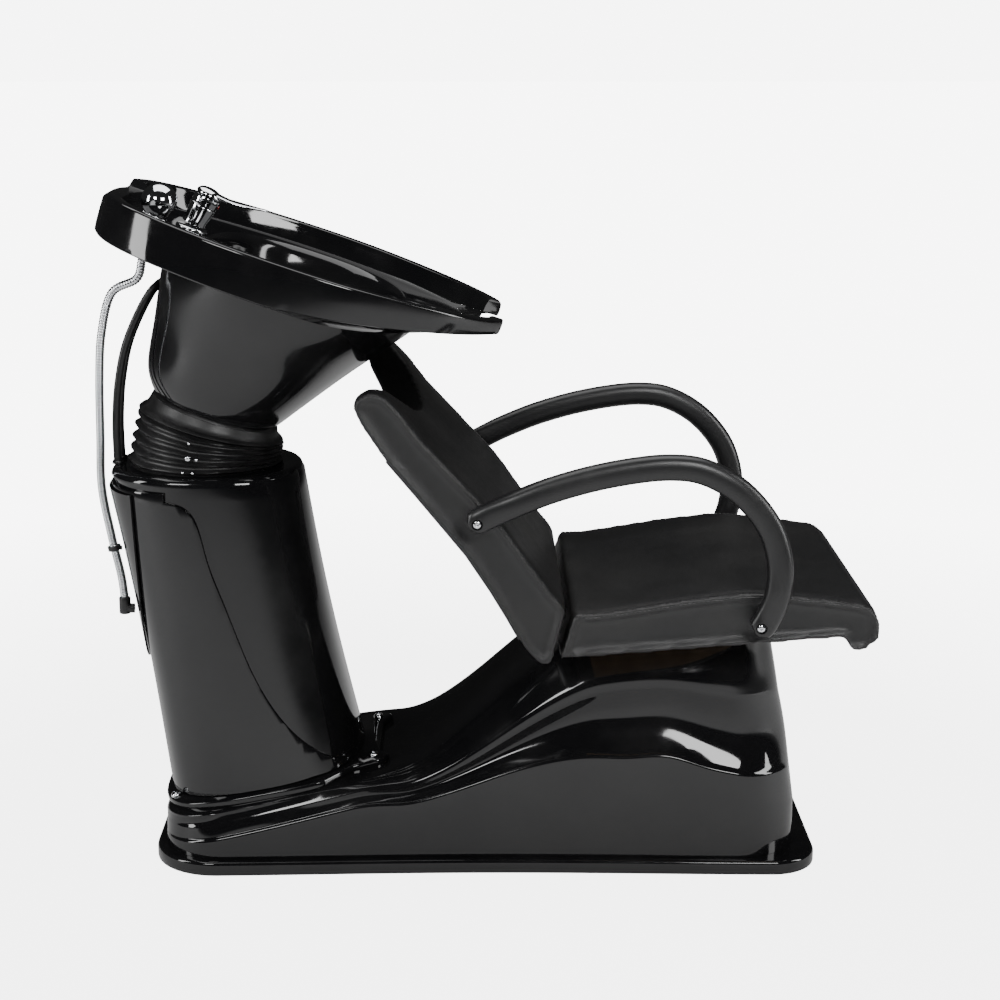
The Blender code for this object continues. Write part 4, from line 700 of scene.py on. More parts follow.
shroudLook = {"wall": 0.004, "slotHalf": 0.036, "slotDepth": 0.152}
shroudShapes = [(-0.216, 0.186, 0.226, 0.046, 2.4), (-0.211, 0.146, 0.199, 0.100, 2.4),
                (-0.202, 0.097, 0.157, 0.166, 2.3), (-0.193, 0.048, 0.126, 0.236, 2.2),
                (-0.178, 0.026, 0.108, 0.268, 2.1), (-0.168, 0.018, 0.100, 0.276, 2.0)]


def makeShroud():
    fine = smoothShapes(shroudShapes, 5)
    wall = shroudLook["wall"]
    outer = [eggRing(*row) for row in fine]
    inner = [eggRing(a + wall, b - wall, c - wall, d, e) for a, b, c, d, e in reversed(fine)]
    shroud = skin("basinShroudShell", outer + inner, "loop")
    half = shroudLook["slotHalf"]
    slot = [(-0.30, -half), (-0.12, -half), (-0.12, half), (-0.30, half)]
    tool = skin("slotTool", [[onBasin(u, v, w) for u, v in slot] for w in (-shroudLook["slotDepth"], 0.0)])
    applied(tool, "BEVEL", width=0.018, segments=6, limit_method="ANGLE", angle_limit=1.2)
    carve(shroud, tool)
    return standIn(softEdges(shroud, 0.0008), "basin_shroud")


makeShroud()
collarLook = {"wall": 0.005, "lowRadius": 0.1135, "highRadius": 0.100, "slope": math.radians(-15)}
bellowsTop = Vector((-0.4165, 0.0, 0.6545))


def makeCollar():
    top = onBasin(-0.075, 0, -0.276)
    low = bellowsTop + Vector((0, 0, 0.0003))
    rings, wall = [], collarLook["wall"]

    def ring(share, grow):
        centre = low.lerp(top - upRim * 0.0003, share)
        halfY = collarLook["lowRadius"] + (collarLook["highRadius"] - 0.001
                                           - collarLook["lowRadius"]) * share ** 0.6
        halfX = halfY + (0.092 - halfY) * max(0.0, (share - 0.7) / 0.3) ** 2
        slope = collarLook["slope"] + (-basinFrame["tilt"] - collarLook["slope"]) * share
        return softOval(centre, halfX + grow, halfY + grow, 2.0, slope, 112)

    rows = [(0.0, -0.0016), (0.02, 0.0), (0.12, 0.0), (0.15, -0.0022), (0.22, -0.0034), (0.45, -0.0034),
            (0.70, -0.0026),
            (0.80, -0.0024), (0.84, -0.0004), (0.97, -0.0004), (1.0, -0.0014)]
    outer = [ring(share, grow) for share, grow in rows]
    inner = [ring(share, -wall) for share in (1.0, 0.6, 0.3, 0.0)]
    return standIn(skin("bowlCollarRubber", outer + inner, "loop", 50), "bowl_collar")


makeCollar()

# bellows of five soft folds, with a lapped seam that snaps shut
bellowsLook = {"folds": 5, "depth": 0.0078, "wall": 0.003, "radius": 0.119, "sides": 144, "steps": 9,
               "seamHalf": 0.062, "lap": 0.0011}


bellowsBend = ("base", "basin", (-0.4275, 0.0, 0.6000), (-0.4165, 0.0, 0.6530))


def bellowsPoint(share, angle, grow):
    low = Vector((-0.4275, 0.0, 0.5953))
    centre = low.lerp(bellowsTop - Vector((0, 0, 0.0003)), share)
    radius = bellowsLook["radius"] + (collarLook["lowRadius"] - bellowsLook["radius"]) * share
    phase = share * bellowsLook["folds"] + 0.05 * math.sin(3 * angle + 1.0) + 0.03 * math.sin(7 * angle)
    ridge = abs(math.cos(math.pi * phase)) ** 1.35 if 0.015 < share < 0.985 else 0.45
    fold = -bellowsLook["depth"] * ridge - 0.0006 * math.sin(9 * angle + 11 * share) - 0.0008
    radius += fold + grow
    slope = collarLook["slope"] * share
    c, s = math.cos(angle), math.sin(angle)
    return centre + Vector((radius * c * math.cos(slope), radius * 0.985 * s, radius * c * math.sin(slope)))


def makeBellows():
    sides, total = bellowsLook["sides"], bellowsLook["folds"] * bellowsLook["steps"]
    turn = [2 * math.pi * n / sides for n in range(sides)]
    outer = [[bellowsPoint(k / total, a, 0.0) for a in turn] for k in range(total + 1)]
    inner = [[bellowsPoint(k / total, a, -bellowsLook["wall"]) for a in turn] for k in range(total, -1, -1)]
    folds = setIn(skin("bellowsFolds", outer + inner, "loop", 80), bellowsBend, "black_rubber", "bellows")
    middle, half = math.radians(-96), bellowsLook["seamHalf"]
    across = [middle - half + 2 * half * n / 12 for n in range(13)]
    back = list(reversed(across))
    rings = []
    for k in range(3, total - 2):
        share = k / total
        soft = 0.0024 if k in (3, total - 3) else 0.0
        rings.append([bellowsPoint(share, a, bellowsLook["lap"] - soft) for a in across]
                     + [bellowsPoint(share, a, -0.0010) for a in back])
    lap = skin("bellowsLap", rings, "caps", 60)
    setIn(lap, bellowsBend, "black_rubber")
    return folds


makeBellows()
print("neck made")

# the column, its sweeping rear cover and the access panel
columnLook = {"sides": 144, "topX": -0.4235, "topZ": 0.595, "topAlong": 0.145, "footAlong": 0.151,
              "topHalf": 0.130,
              "footHalf": 0.148, "slope": math.radians(11), "wall": 0.004, "proud": 0.0045, "stand": 0.0021,
              "panel": 0.003}
foot = Vector((-0.335, 0.0, 0.108))
alongFoot = Vector((math.cos(columnLook["slope"]), 0, math.sin(columnLook["slope"])))
upFoot = Vector((-math.sin(columnLook["slope"]), 0, math.cos(columnLook["slope"])))


def onFoot(along, across, up):
    return foot + alongFoot * along + Vector((0, across, 0)) + upFoot * up


def columnRing(share, grow, sides=None):
    centre = onFoot(0, 0, 0.0096).lerp(Vector((columnLook["topX"], 0, columnLook["topZ"])), share)
    waist = -0.006 * math.sin(math.pi * share)
    halfX = columnLook["footAlong"] + (columnLook["topAlong"] - columnLook["footAlong"]) * share + waist
    halfY = columnLook["footHalf"] + (columnLook["topHalf"] - columnLook["footHalf"]) * share + waist
    return softOval(centre, halfX + grow, halfY + grow, 2.5, columnLook["slope"] * (1 - share) ** 2,
                    sides or columnLook["sides"])


def shifted(ring, drop):
    return [p - Vector((0, 0, drop)) for p in ring]


def makeColumn():
    wall = columnLook["wall"]
    shares = [n / 24 * 0.97 for n in range(25)]
    rings = [columnRing(share, 0.0) for share in shares]
    for n in range(1, 9):
        angle = math.pi / 2 * n / 8
        rings.append(shifted(columnRing(1.0, -0.012 * (1 - math.cos(angle))), 0.0125 * (1 - math.sin(angle))))
    rings += [columnRing(1.0, -0.030), columnRing(1.0, -0.034), shifted(columnRing(1.0, -0.034), wall),
              shifted(columnRing(1.0, -0.012 - wall), wall)]
    rings += [columnRing(share, -wall) for share in reversed(shares[::4])]
    column = skin("columnShell", rings, "loop", 50)
    return standIn(column, "column_housing")


makeColumn()
sweep = [(-0.475, 0.5600), (-0.445, 0.5500), (-0.427, 0.5250), (-0.410, 0.4600), (-0.388, 0.4000),
         (-0.352, 0.3050),
         (-0.318, 0.2420), (-0.280, 0.1950), (-0.235, 0.1600), (-0.205, 0.1500)]


def makeCover():
    shares = [0.004 + 0.951 * n / 24 for n in range(25)]
    proud = columnLook["proud"] + 0.0003
    rings = [columnRing(share, proud) for share in shares[:-1]]
    rings += [columnRing(0.949, proud), columnRing(0.9535, proud - 0.0008), columnRing(0.955, proud - 0.0022)]
    rings += [columnRing(share, 0.0003) for share in reversed(shares)]
    cover = skin("columnRearCover", rings, "loop")
    edge = [(p.x, p.y) for p in curvePoints([Vector((x, z)) for x, z in sweep], 10)]
    carve(cover, slab("sweepTool", edge + [(-0.10, 0.150), (0.30, 0.150), (0.30, 0.70), (-0.475, 0.70)],
                      -0.4, 0.4))
    carve(cover, slab("toeTool", [(-0.205, 0.150), (0.30, 0.150), (0.30, 0.0), (-0.205, 0.0)], -0.4, 0.4))
    return standIn(softEdges(cover, 0.0016, 3), "column_cover")


makeCover()


def makePanel():
    low, proud, rings = 0.38, columnLook["proud"] + columnLook["stand"], []
    shares = [low + (0.94 - low) * (n / 26) ** 1.4 for n in range(27)]
    for share in shares:
        reach, ring = 0.030 + 0.52 * ((share - low) / (0.94 - low)) ** 0.6, []
        for side, row in ((1, columnRing(share, proud + columnLook["panel"])),
                          (-1, columnRing(share, proud))):
            for n in range(25):
                spot = (0.5 + side * reach * 0.5 * (n / 24 - 0.5)) * len(row)
                base = int(spot)
                ring.append(row[base % len(row)].lerp(row[(base + 1) % len(row)], spot - base))
        rings.append(ring)
    return standIn(softEdges(skin("accessPanelShield", rings), 0.0009), "access_panel")


makePanel()
print("column made")

# the floor plate and the long moulded pedestal
plateLook = {"length": 1.008, "halfRear": 0.206, "halfFront": 0.200, "waist": 0.010, "thick": 0.022,
             "cornerRear": 0.100, "cornerFront": 0.070}
pedestalLook = {"inset": 0.014, "lean": 0.045, "bulge": 0.045, "cove": 0.020,
                "seatSlope": math.tan(math.radians(4.6)),
                "endRound": 0.007}


def plateHalf(x):
    share = (x + plateLook["length"] / 2) / plateLook["length"]
    return (plateLook["halfRear"] + (plateLook["halfFront"] - plateLook["halfRear"]) * share
            - plateLook["waist"] * math.sin(math.pi * share) ** 2)


def planStations(inset, cornerRear, cornerFront, sides, steps):
    rear, front, stations = -plateLook["length"] / 2 + inset, plateLook["length"] / 2 - inset, []
    for n in range(steps + 1):
        angle = math.pi / 2 * n / steps
        x = rear + cornerRear * (1 - math.cos(angle))
        stations.append((x, plateHalf(x) - inset - cornerRear * (1 - math.sin(angle))))
    for n in range(1, sides):
        x = rear + cornerRear + (front - rear - cornerRear - cornerFront) * n / sides
        stations.append((x, plateHalf(x) - inset))
    for n in range(steps + 1):
        angle = math.pi / 2 * (1 - n / steps)
        x = front - cornerFront * (1 - math.cos(angle))
        stations.append((x, plateHalf(x) - inset - cornerFront * (1 - math.sin(angle))))
    return stations


def makePlate():
    thick, rings = plateLook["thick"], []
    for inset, z in ((0.0025, 0.0), (0.0005, 0.0012), (0.0, 0.0035), (0.0, thick - 0.0055),
                     (0.0006, thick - 0.0030),
                     (0.0022, thick - 0.0010), (0.0050, thick - 0.0001), (0.0070, thick)):
        stations = planStations(inset, plateLook["cornerRear"] - inset, plateLook["cornerFront"] - inset,
                                40, 14)
        rings.append([(x, -half, z) for x, half in stations] + [(x, half, z) for x,
                                                                half in reversed(stations)])
    return standIn(skin("floorPlateMoulding", rings), "floor_plate")


makePlate()


def seatUnder(x):
    return 0.349 + (x - 0.100) * pedestalLook["seatSlope"]


def footPlane(x):
    return foot.z + (x - foot.x) * math.tan(columnLook["slope"])


def deckHeight(x):
    low, high = foot.x + 0.198, 0.175
    if x <= low:
        return footPlane(x)
    if x >= high:
        return seatUnder(x) - 0.0056
    lowZ, highZ, run = footPlane(low), seatUnder(high) - 0.0056, high - low
    t = (x - low) / run
    rise, seatRise = math.tan(columnLook["slope"]) * run, pedestalLook["seatSlope"] * run
    return (lowZ * (2 * t ** 3 - 3 * t * t + 1) + highZ * (3 * t * t - 2 * t ** 3)
            + rise * (t ** 3 - 2 * t * t + t) + seatRise * (t ** 3 - t * t))


lowerWave = [(0.00, 0.30), (0.30, 0.72), (0.40, 0.66), (0.50, 0.58), (0.60, 0.52), (0.70, 0.49), (0.78, 0.49),
             (0.88, 0.42), (1.00, 0.36)]
upperWave = [(0.00, 0.60), (0.30, 0.88), (0.40, 0.80), (0.50, 0.75), (0.60, 0.75), (0.70, 0.79), (0.78, 0.79),
             (0.88, 0.75), (1.00, 0.70)]
deckHalf = [(0.00, 0.175), (0.20, 0.170), (0.34, 0.150), (0.44, 0.125), (0.52, 0.112), (0.62, 0.112),
            (0.75, 0.128),
            (1.00, 0.150)]
coveShare = [(0.00, 0.00), (0.26, 0.05), (0.45, 0.60), (0.65, 1.00), (0.85, 0.90), (1.00, 0.60)]


def pedestalSide(x, half, sink):
    share = (x + plateLook["length"] / 2) / plateLook["length"]
    base, top = 0.0223, deckHeight(x) - sink
    lowZ = base + (top - base) * ease(lowerWave, share)
    highZ = base + (top - base) * ease(upperWave, share)
    cove = pedestalLook["cove"] * ease(coveShare, share)
    upper = half - 0.008 - 0.4 * cove
    shoulder = min(ease(deckHalf, share), upper - 0.006)
    rounding = min(0.014, 0.4 * (top - highZ))
    skirt = [Vector((half, 0, base + (lowZ - 0.006 - base) * n / 5)) for n in range(6)]
    crest = [Vector((half - 0.0003, 0, lowZ - 0.0035)), Vector((half - 0.0014, 0, lowZ - 0.0012)),
             Vector((half - 0.0036, 0, lowZ))]
    hollow = [Vector((half - 0.004 + (upper - half + 0.004) * t - cove * math.sin(math.pi * t), 0,
                      lowZ + (highZ - lowZ) * t)) for t in (n / 20 for n in range(1, 21))]
    shoulderLine = [hollow[-1], Vector((upper - 0.003, 0, highZ + 0.3 * (top - highZ))),
                    Vector((shoulder + 0.45 * (upper - shoulder), 0, highZ + 0.70 * (top - highZ))),
                    Vector((shoulder + 0.004, 0, top - 0.45 * rounding)),
                    Vector((shoulder - 0.003, 0, top - 0.12 * rounding)), Vector((shoulder - 0.014, 0, top))]
    bend = evenly(curvePoints(shoulderLine, 8), 22)[1:]
    return [(p.x, p.z) for p in skirt + crest + hollow + bend] + [(0.5 * (shoulder - 0.014), top)]


def makePedestal():
    inset = pedestalLook["inset"]
    stations = planStations(inset, plateLook["cornerRear"] - 0.6 * inset,
                            plateLook["cornerFront"] - 0.4 * inset,
                            96, 12)
    full, rear, front, rings = max(h for x, h in stations), stations[0][0], stations[-1][0], []
    for x, half in stations:
        near = min(x - rear, front - x)
        curve = pedestalLook["endRound"]
        sink = curve - math.sqrt(max(curve ** 2 - max(curve - near, 0.0) ** 2, 0.0))
        side = pedestalSide(x, half, sink)
        share = (x + plateLook["length"] / 2) / plateLook["length"]
        t = min(max((share - 0.70) / 0.28, 0.0), 1.0)
        weight, ring = t * t * (3 - 2 * t), []
        for y, z in [(-y, z) for y, z in side] + [(y, z) for y, z in reversed(side)]:
            shift = weight * (pedestalLook["lean"] * max(z - 0.10, 0.0) / 0.25
                              + pedestalLook["bulge"] * (y / full) ** 2)
            height = (z - 0.0223) / (deckHeight(x) - 0.0223)
            ring.append((x - shift, y, z - shift * pedestalLook["seatSlope"] * height))
        rings.append(ring)
    return standIn(skin("pedestalMoulding", rings, degrees=50), "pedestal_shell")


makePedestal()
flangeLook = {"thick": 0.0093, "long": 0.163, "half": 0.166, "earX": 0.182, "earY": 0.088}


def makeFlange():
    long, wide, earX, earY = (flangeLook[key] for key in ("long", "half", "earX", "earY"))
    points, power = [], 2 / 3.2
    for n in range(48):
        angle = math.pi * (1 - n / 54)
        c, s = math.cos(angle), math.sin(angle)
        points.append((long * math.copysign(abs(c) ** power, c), wide * s ** power))
    points = [p for p in points if p[0] < earX - 0.090]
    bend = [points[-1], (earX - 0.050, earY + 0.032), (earX - 0.012, earY + 0.022)]
    points += [(p.x, p.y) for p in curvePoints([Vector((a, b, 0)) for a, b in bend], 8)[1:-1]]
    for n in range(17):
        angle = math.pi / 2 * (1 - n / 16)
        points.append((earX - 0.012 + 0.022 * math.cos(angle), earY + 0.022 * math.sin(angle)))
    points.append((earX - 0.004, earY - 0.022))
    outline = [(a, -b) for a, b in points] + [(a, b) for a, b in reversed(points) if b > 0.0005]
    rings = []
    for up, inset in ((0.0003, 0.0), (0.0068, 0.0), (0.0082, 0.0006), (0.0093, 0.0022)):
        rings.append([onFoot(a * (1 - inset / math.hypot(a, b)), b * (1 - inset / math.hypot(a, b)), up)
                      for a, b in outline])
    return standIn(skin("columnFootFlange", rings, degrees=50), "column_flange")


makeFlange()
print("pedestal made")

# armrests, swept along one loop and screwed on at both ends
armLook = {"y": 0.2785, "halfHigh": 0.0185, "halfWide": 0.0155, "endHalf": 0.0120, "sides": 36, "steps": 96,
           "boss": 0.0115, "bore": 0.0043, "recess": 0.0080}
armRoute = [(-0.024, 0.562), (0.004, 0.577), (0.040, 0.594), (0.090, 0.614), (0.150, 0.6315), (0.210, 0.6430),
            (0.258, 0.6470), (0.300, 0.6420), (0.342, 0.6220), (0.376, 0.5920), (0.402, 0.5530),
            (0.415, 0.5050),
            (0.4125, 0.4600), (0.399, 0.4230), (0.386, 0.4040)]
armEnds = [(-0.013, 0.566), (0.391, 0.414)]


def makeArm(node, side):
    steps, rings = armLook["steps"], []
    line = evenly(curvePoints([Vector((x, 0, z)) for x, z in armRoute], 12), steps)
    length = sum((b - a).length for a, b in zip(line, line[1:]))
    for k, point in enumerate(line):
        along = (line[min(k + 1, steps - 1)] - line[max(k - 1, 0)]).normalized()
        share = k / (steps - 1)
        ends = max(0.0, 1 - min(share, 1 - share) / 0.12)
        ends = ends * ends * (3 - 2 * ends)
        wide = armLook["halfWide"] + (armLook["endHalf"] - armLook["halfWide"]) * min(1.0, ends * 1.3)
        reach = min(share, 1 - share) * length
        tip = math.sqrt(max(0.0, 1 - (1 - min(reach / 0.012, 1.0)) ** 2)) * 0.62 + 0.38
        middle, ring = armLook["y"] - (armLook["halfWide"] - wide), []
        for n in range(armLook["sides"]):
            c, s = math.cos(2 * math.pi * n / armLook["sides"]), math.sin(2 * math.pi * n / armLook["sides"])
            lift = armLook["halfHigh"] * tip * math.copysign(abs(s) ** 0.85, s)
            across = wide * (0.6 + 0.4 * tip) * math.copysign(abs(c) ** 0.75, c)
            ring.append((point.x - along.z * lift, side * (middle + across), point.z + along.x * lift))
        rings.append(ring)
    arm = skin(node + "Sweep", rings, degrees=60)
    outer = armLook["y"] - armLook["halfWide"] + 2 * armLook["endHalf"]
    for x, z in armEnds:
        carve(arm, bar("bossTool", (x, side * 0.2503, z), (x, side * 0.2785, z), armLook["boss"]), "UNION")
        carve(arm, bar("boreTool", (x, side * 0.20, z), (x, side * 0.34, z), armLook["bore"], 24))
        carve(arm, bar("recessTool", (x, side * (outer - 0.006), z), (x, side * 0.34, z), armLook["recess"]))
    return standIn(softEdges(arm, 0.0008, 2, 50), node)


makeArm("armrest_right", -1)
makeArm("armrest_left", 1)
for number in range(1, 5):
    polished("foot_bolt_%d" % number, 2)
for number in range(1, 6):
    polished("bellows_stud_%d" % number, 2, bend=bellowsBend)
print("armrests and bolts made")

# mixer tap, hand shower and their fixings
tapLook = {"radius": 0.0205, "high": 0.036, "lean": math.radians(12), "lever": 0.098, "sides": 72}
tapAxis = Vector((math.sin(basinFrame["tilt"] + tapLook["lean"]), 0,
                  math.cos(basinFrame["tilt"] + tapLook["lean"])))
tapFore = Vector((tapAxis.z, 0, -tapAxis.x))


def onTap(along, across, up):
    return tapSeat + upRim * 0.0063 + tapFore * along + Vector((0, across, 0)) + tapAxis * up


def makeTap():
    radius, high, sides = tapLook["radius"], tapLook["high"], tapLook["sides"]
    ring = [(radius + 0.0034, 0.0003), (radius + 0.0040, 0.0008), (radius + 0.0040, 0.0034),
            (radius + 0.0034, 0.0048), (radius + 0.0022, 0.0058), (radius + 0.0010, 0.0060), (0.0106, 0.0060),
            (0.0106, 0.0003)]
    standIn(turned("tapFootRing", ring, tapSeat, upRim, sides, "loop"), "tap_base_ring")
    rings = []
    for up, share in ((0.0042, 0.85), (0.0046, 0.872), (0.0056, 0.878), (0.0072, 0.862), (0.011, 0.862),
                      (0.016, 0.89),
                      (0.022, 0.935), (0.028, 0.970), (high - 0.004, 0.992), (high - 0.0016, 0.998),
                      (high - 0.0007, 0.985), (high, 0.955)):
        slope = -basinFrame["tilt"] - tapLook["lean"] * min(1.0, 0.5 + up / 0.03)
        rings.append(softOval(onTap(0, 0, up), radius * share, radius * share, 2.0, slope, sides))
    standIn(skin("tapBodyCast", rings), "tap_body")
    low, high = high + 0.0003, high + 0.0150
    span = high - low
    cartridge = [(radius - 0.0012, 0.0), (radius - 0.0004, 0.0004), (radius, 0.0012), (radius, span - 0.0030),
                 (radius - 0.0005, span - 0.0012), (radius - 0.0018, span - 0.0002), (radius - 0.0030, span)]
    standIn(turned("tapCartridgeCap", cartridge, onTap(0, 0, low), tapAxis, sides), "tap_cartridge")
    polished("tap_button", 2)
    base = high + 0.0006
    cap = [(radius - 0.0022, 0.0), (radius - 0.0006, 0.0006), (radius, 0.0020), (radius - 0.0003, 0.0040),
           (radius - 0.0016, 0.0064), (0.80 * radius, 0.0087), (0.62 * radius, 0.0106),
           (0.40 * radius, 0.0119),
           (0.18 * radius, 0.0125), (0.05 * radius, 0.0126)]
    lever = turned("tapLeverCap", cap, onTap(0, 0, base), tapAxis, sides)
    reach = tapLook["lever"] - radius
    shape = [Vector(row) for row in ((-0.004, 0.0055, 0.0150), (0.30 * reach, 0.0085, 0.0135),
                                     (0.62 * reach, 0.0150, 0.0095), (0.9 * reach, 0.0225, 0.0070),
                                     (reach, 0.0250, 0.0050))]
    line, blades = curvePoints(shape, 8), []
    for k, row in enumerate(line):
        share = k / (len(line) - 1)
        thick, tip = 0.0045 - 0.0031 * share, math.sqrt(max(0.0,
                                                            1 - max(0.0, (share - 0.93) / 0.07) ** 2)) + 0.02
        blades.append([onTap(row.x + 0.5 * radius, row.z * min(tip, 1.0) * math.cos(a),
                             base + row.y + thick * min(tip, 1.0) * math.sin(a))
                       for a in (2 * math.pi * n / 40 for n in range(40))])
    setIn(skin("tapLeverBlade", blades, degrees=60), "lever", "chrome")
    standIn(lever, "tap_lever")


makeTap()
showerLook = {"head": 0.0268, "handle": 0.0100, "rings": (0.0045, 0.0080, 0.0115)}


def makeHandShower():
    head, handle = showerLook["head"], showerLook["handle"]
    bore, collar = handle + 0.0045, 0.0053
    rim = [(bore + 0.0054, 0.0003), (bore + 0.0060, 0.0009), (bore + 0.0060, 0.0026), (bore + 0.0056, 0.0038),
           (bore + 0.0048, 0.0047), (bore + 0.0040, 0.0050), (handle + 0.0012, 0.0050),
           (handle + 0.0003, 0.0042),
           (handle + 0.0003, -0.046), (bore - 0.0003, -0.046), (bore - 0.0003, 0.0003)]
    standIn(turned("showerHolderCup", rim, showerSeat, upRim, 64, "loop"), "shower_holder")
    centre = collar + 0.70 * head + 0.012
    profile = [(handle * 0.70, collar - 0.058), (handle * 0.74, collar - 0.0575),
               (handle * 0.98, collar - 0.0552),
               (handle, collar - 0.0545)]
    for n in range(10):
        z = collar - 0.050 + 0.0048 * n
        profile += [(handle, z), (handle - 0.0003, z + 0.0006), (handle - 0.0003, z + 0.0012),
                    (handle, z + 0.0018)]
    profile += [(handle, collar), (handle + 0.0028, collar), (handle + 0.0035, collar + 0.0006),
                (handle + 0.0035, collar + 0.0034), (handle + 0.0030, collar + 0.0042),
                (handle + 0.0034, collar + 0.0050)]
    for n in range(1, 31):
        angle = math.radians(38) + (math.pi - math.radians(45)) * n / 30
        profile.append((head * math.sin(angle), centre - head * math.cos(angle)))
    handset = turned("handShowerShell", profile, showerSeat, upRim, 72)
    faceAxis = (alongRim * 0.93 - upRim * 0.36).normalized()
    middle = showerSeat + upRim * centre
    carve(handset, bar("faceTool", middle + faceAxis * 0.0185, middle + faceAxis * 0.06, 0.05))
    standIn(softEdges(handset, 0.0009, 3, 40), "hand_shower")
    face = turned("showerFacePlate", [(0.0150, 0.0003), (0.0155, 0.0008), (0.0155, 0.0020), (0.0148, 0.0030),
                                      (0.0130, 0.0035), (0.0060, 0.0034)], middle + faceAxis * 0.0185,
                                      faceAxis, 64)
    standIn(face, "shower_face")
    sideAxis = Vector((0, 1, 0))
    upFace = faceAxis.cross(sideAxis)
    for ring, radius in enumerate(showerLook["rings"]):
        for n in range(6 * (ring + 1)):
            angle = 2 * math.pi * n / (6 * (ring + 1))
            spot = middle + faceAxis * 0.0218 + (sideAxis * math.cos(angle) + upFace
                                                 * math.sin(angle)) * radius
            nozzle = turned("showerNozzle", [(0.0009, 0.0), (0.0008, 0.0007), (0.0004, 0.0010)], spot,
                            faceAxis, 8)
            setIn(nozzle, "shower", "black_rubber")


makeHandShower()


def makeWaste():
    seat = onBasin(-0.025, 0, -0.172)
    rows = [(0.0274, 0.0003), (0.0280, 0.0008), (0.0280, 0.0018), (0.0272, 0.0026), (0.0256, 0.0030),
            (0.0230, 0.0027),
            (0.0200, 0.0018), (0.0190, 0.0010), (0.0190, -0.030), (0.0220, -0.030), (0.0220, 0.0003)]
    standIn(turned("wasteFlangeRing", rows, seat, upRim, 72, "loop"), "waste_flange")
    polished("waste_nut", 1)
    # corrugated waste, from under the bowl down to its outlet in the foot
    start = onBasin(-0.025, 0, -0.2025)
    route = [start, start - upRim * 0.030, Vector((-0.345, 0, 0.655)), Vector((-0.340, 0, 0.560)),
             Vector((-0.325, 0, 0.400)), Vector((-0.285, 0, 0.250)), onFoot(0.075, 0, 0.075),
             onFoot(0.075, 0, 0.0395)]
    line = curvePoints(route, 30)
    path = evenly(line, int(pathLength(line) / 0.0021) + 1)
    waste = tube("wasteHoseRibbed", path,
                 lambda length: 0.0170 - 0.0024 * (0.5 + 0.5 * math.cos(2 * math.pi * length / 0.0084)), 32)
    setIn(waste, ("base", "basin", (-0.340, 0, 0.560), start - upRim * 0.020), "black_rubber", "waste_hose")


makeWaste()
for node in ("supply_gland_hot", "supply_gland_cold", "tap_nut", "hinge_nut"):
    polished(node, 1)
for node in ("shower_hose_fitting", "hose_clip", "strainer"):
    polished(node, 2, 40)


def makeArmBolt(node, side):
    # a domed chrome head with a hexagon socket, low in the arm's end
    low, high = (Vector(corner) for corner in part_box(node))
    x, z = (low.x + high.x) / 2, (low.z + high.z) / 2
    outer, inner = (high.y, low.y) if side > 0 else (low.y, high.y)
    head, long = (high.x - low.x) / 2, abs(outer - inner)
    rows = [(0.0032, 0.0), (0.0040, 0.0012), (0.0040, long - 0.0048), (head - 0.0004, long - 0.0048),
            (head, long - 0.0044), (head, long - 0.0030), (head - 0.0008, long - 0.0016),
            (head - 0.0024, long - 0.0005),
            (head - 0.0040, long)]
    bolt = turned(node + "Turned", rows, (x, inner, z), (0, side, 0), 48)
    carve(bolt, bar("socketTool", (x, outer - side * 0.0024, z), (x, outer + side * 0.01, z), 0.0023, 6))
    standIn(softEdges(bolt, 0.00018, 2, 50), node)


for node, side in (("arm_bolt_rear_left", 1), ("arm_bolt_front_left", 1), ("arm_bolt_rear_right", -1),
                   ("arm_bolt_front_right", -1)):
    makeArmBolt(node, side)
print("tap and shower made")

# seat and back cushions: a cut shape, swelled as cloth, then seams and stitches
cushionLook = {"voxel": 0.0052, "pressure": 4.0, "frames": 20, "shrink": 0.0035, "cap": 0.008, "half": 0.250,
               "bead": 0.0017, "thread": 0.00055, "stitch": 0.0042, "pitch": 0.0066, "beside": 0.0052}
threadBlack = Finish("blackThread", Roughness=0.6)
threadBlack.send("Base Color", threadBlack.blend(threadBlack.noise(1500.0), (0.012, 0.012, 0.012),
                                                 (0.05, 0.05, 0.05)))
threadBlack.bump(threadBlack.noise(4000.0, 2.0, 0.5, threadBlack.stretched((1, 1, 4))), 0.4, 0.0002)


def insetOutline(points, inset, count=160):
    line = evenly([Vector((a, 0, b)) for a, b in points], count, closed=True)
    middle = sum(line, Vector()) / count
    result = []
    for k, point in enumerate(line):
        along = (line[(k + 2) % count] - line[k - 2]).normalized()
        out = Vector((along.z, 0, -along.x))
        if out.dot(point - middle) < 0:
            out.negate()
        result.append(point - out * inset)
    return result


def padShape(name, outline):
    # rings across the seat, drawn in at both ends to round the edges
    shrink, rounded, steps = cushionLook["shrink"], 0.009, 6
    half, rings = cushionLook["half"] - shrink, []
    for n in range(steps + 1):
        angle = math.pi / 2 * n / steps
        rings.append((half - rounded * (1 - math.sin(angle)), shrink + rounded * (1 - math.cos(angle))))
    flat = half - 0.02
    rows = [(-y, inset) for y, inset in rings] + [(-flat, shrink), (0.0, shrink), (flat, shrink)]
    rows += [(y, inset) for y, inset in reversed(rings)]
    return skin(name, [[(p.x, y, p.z) for p in insetOutline(outline, inset)] for y, inset in rows])


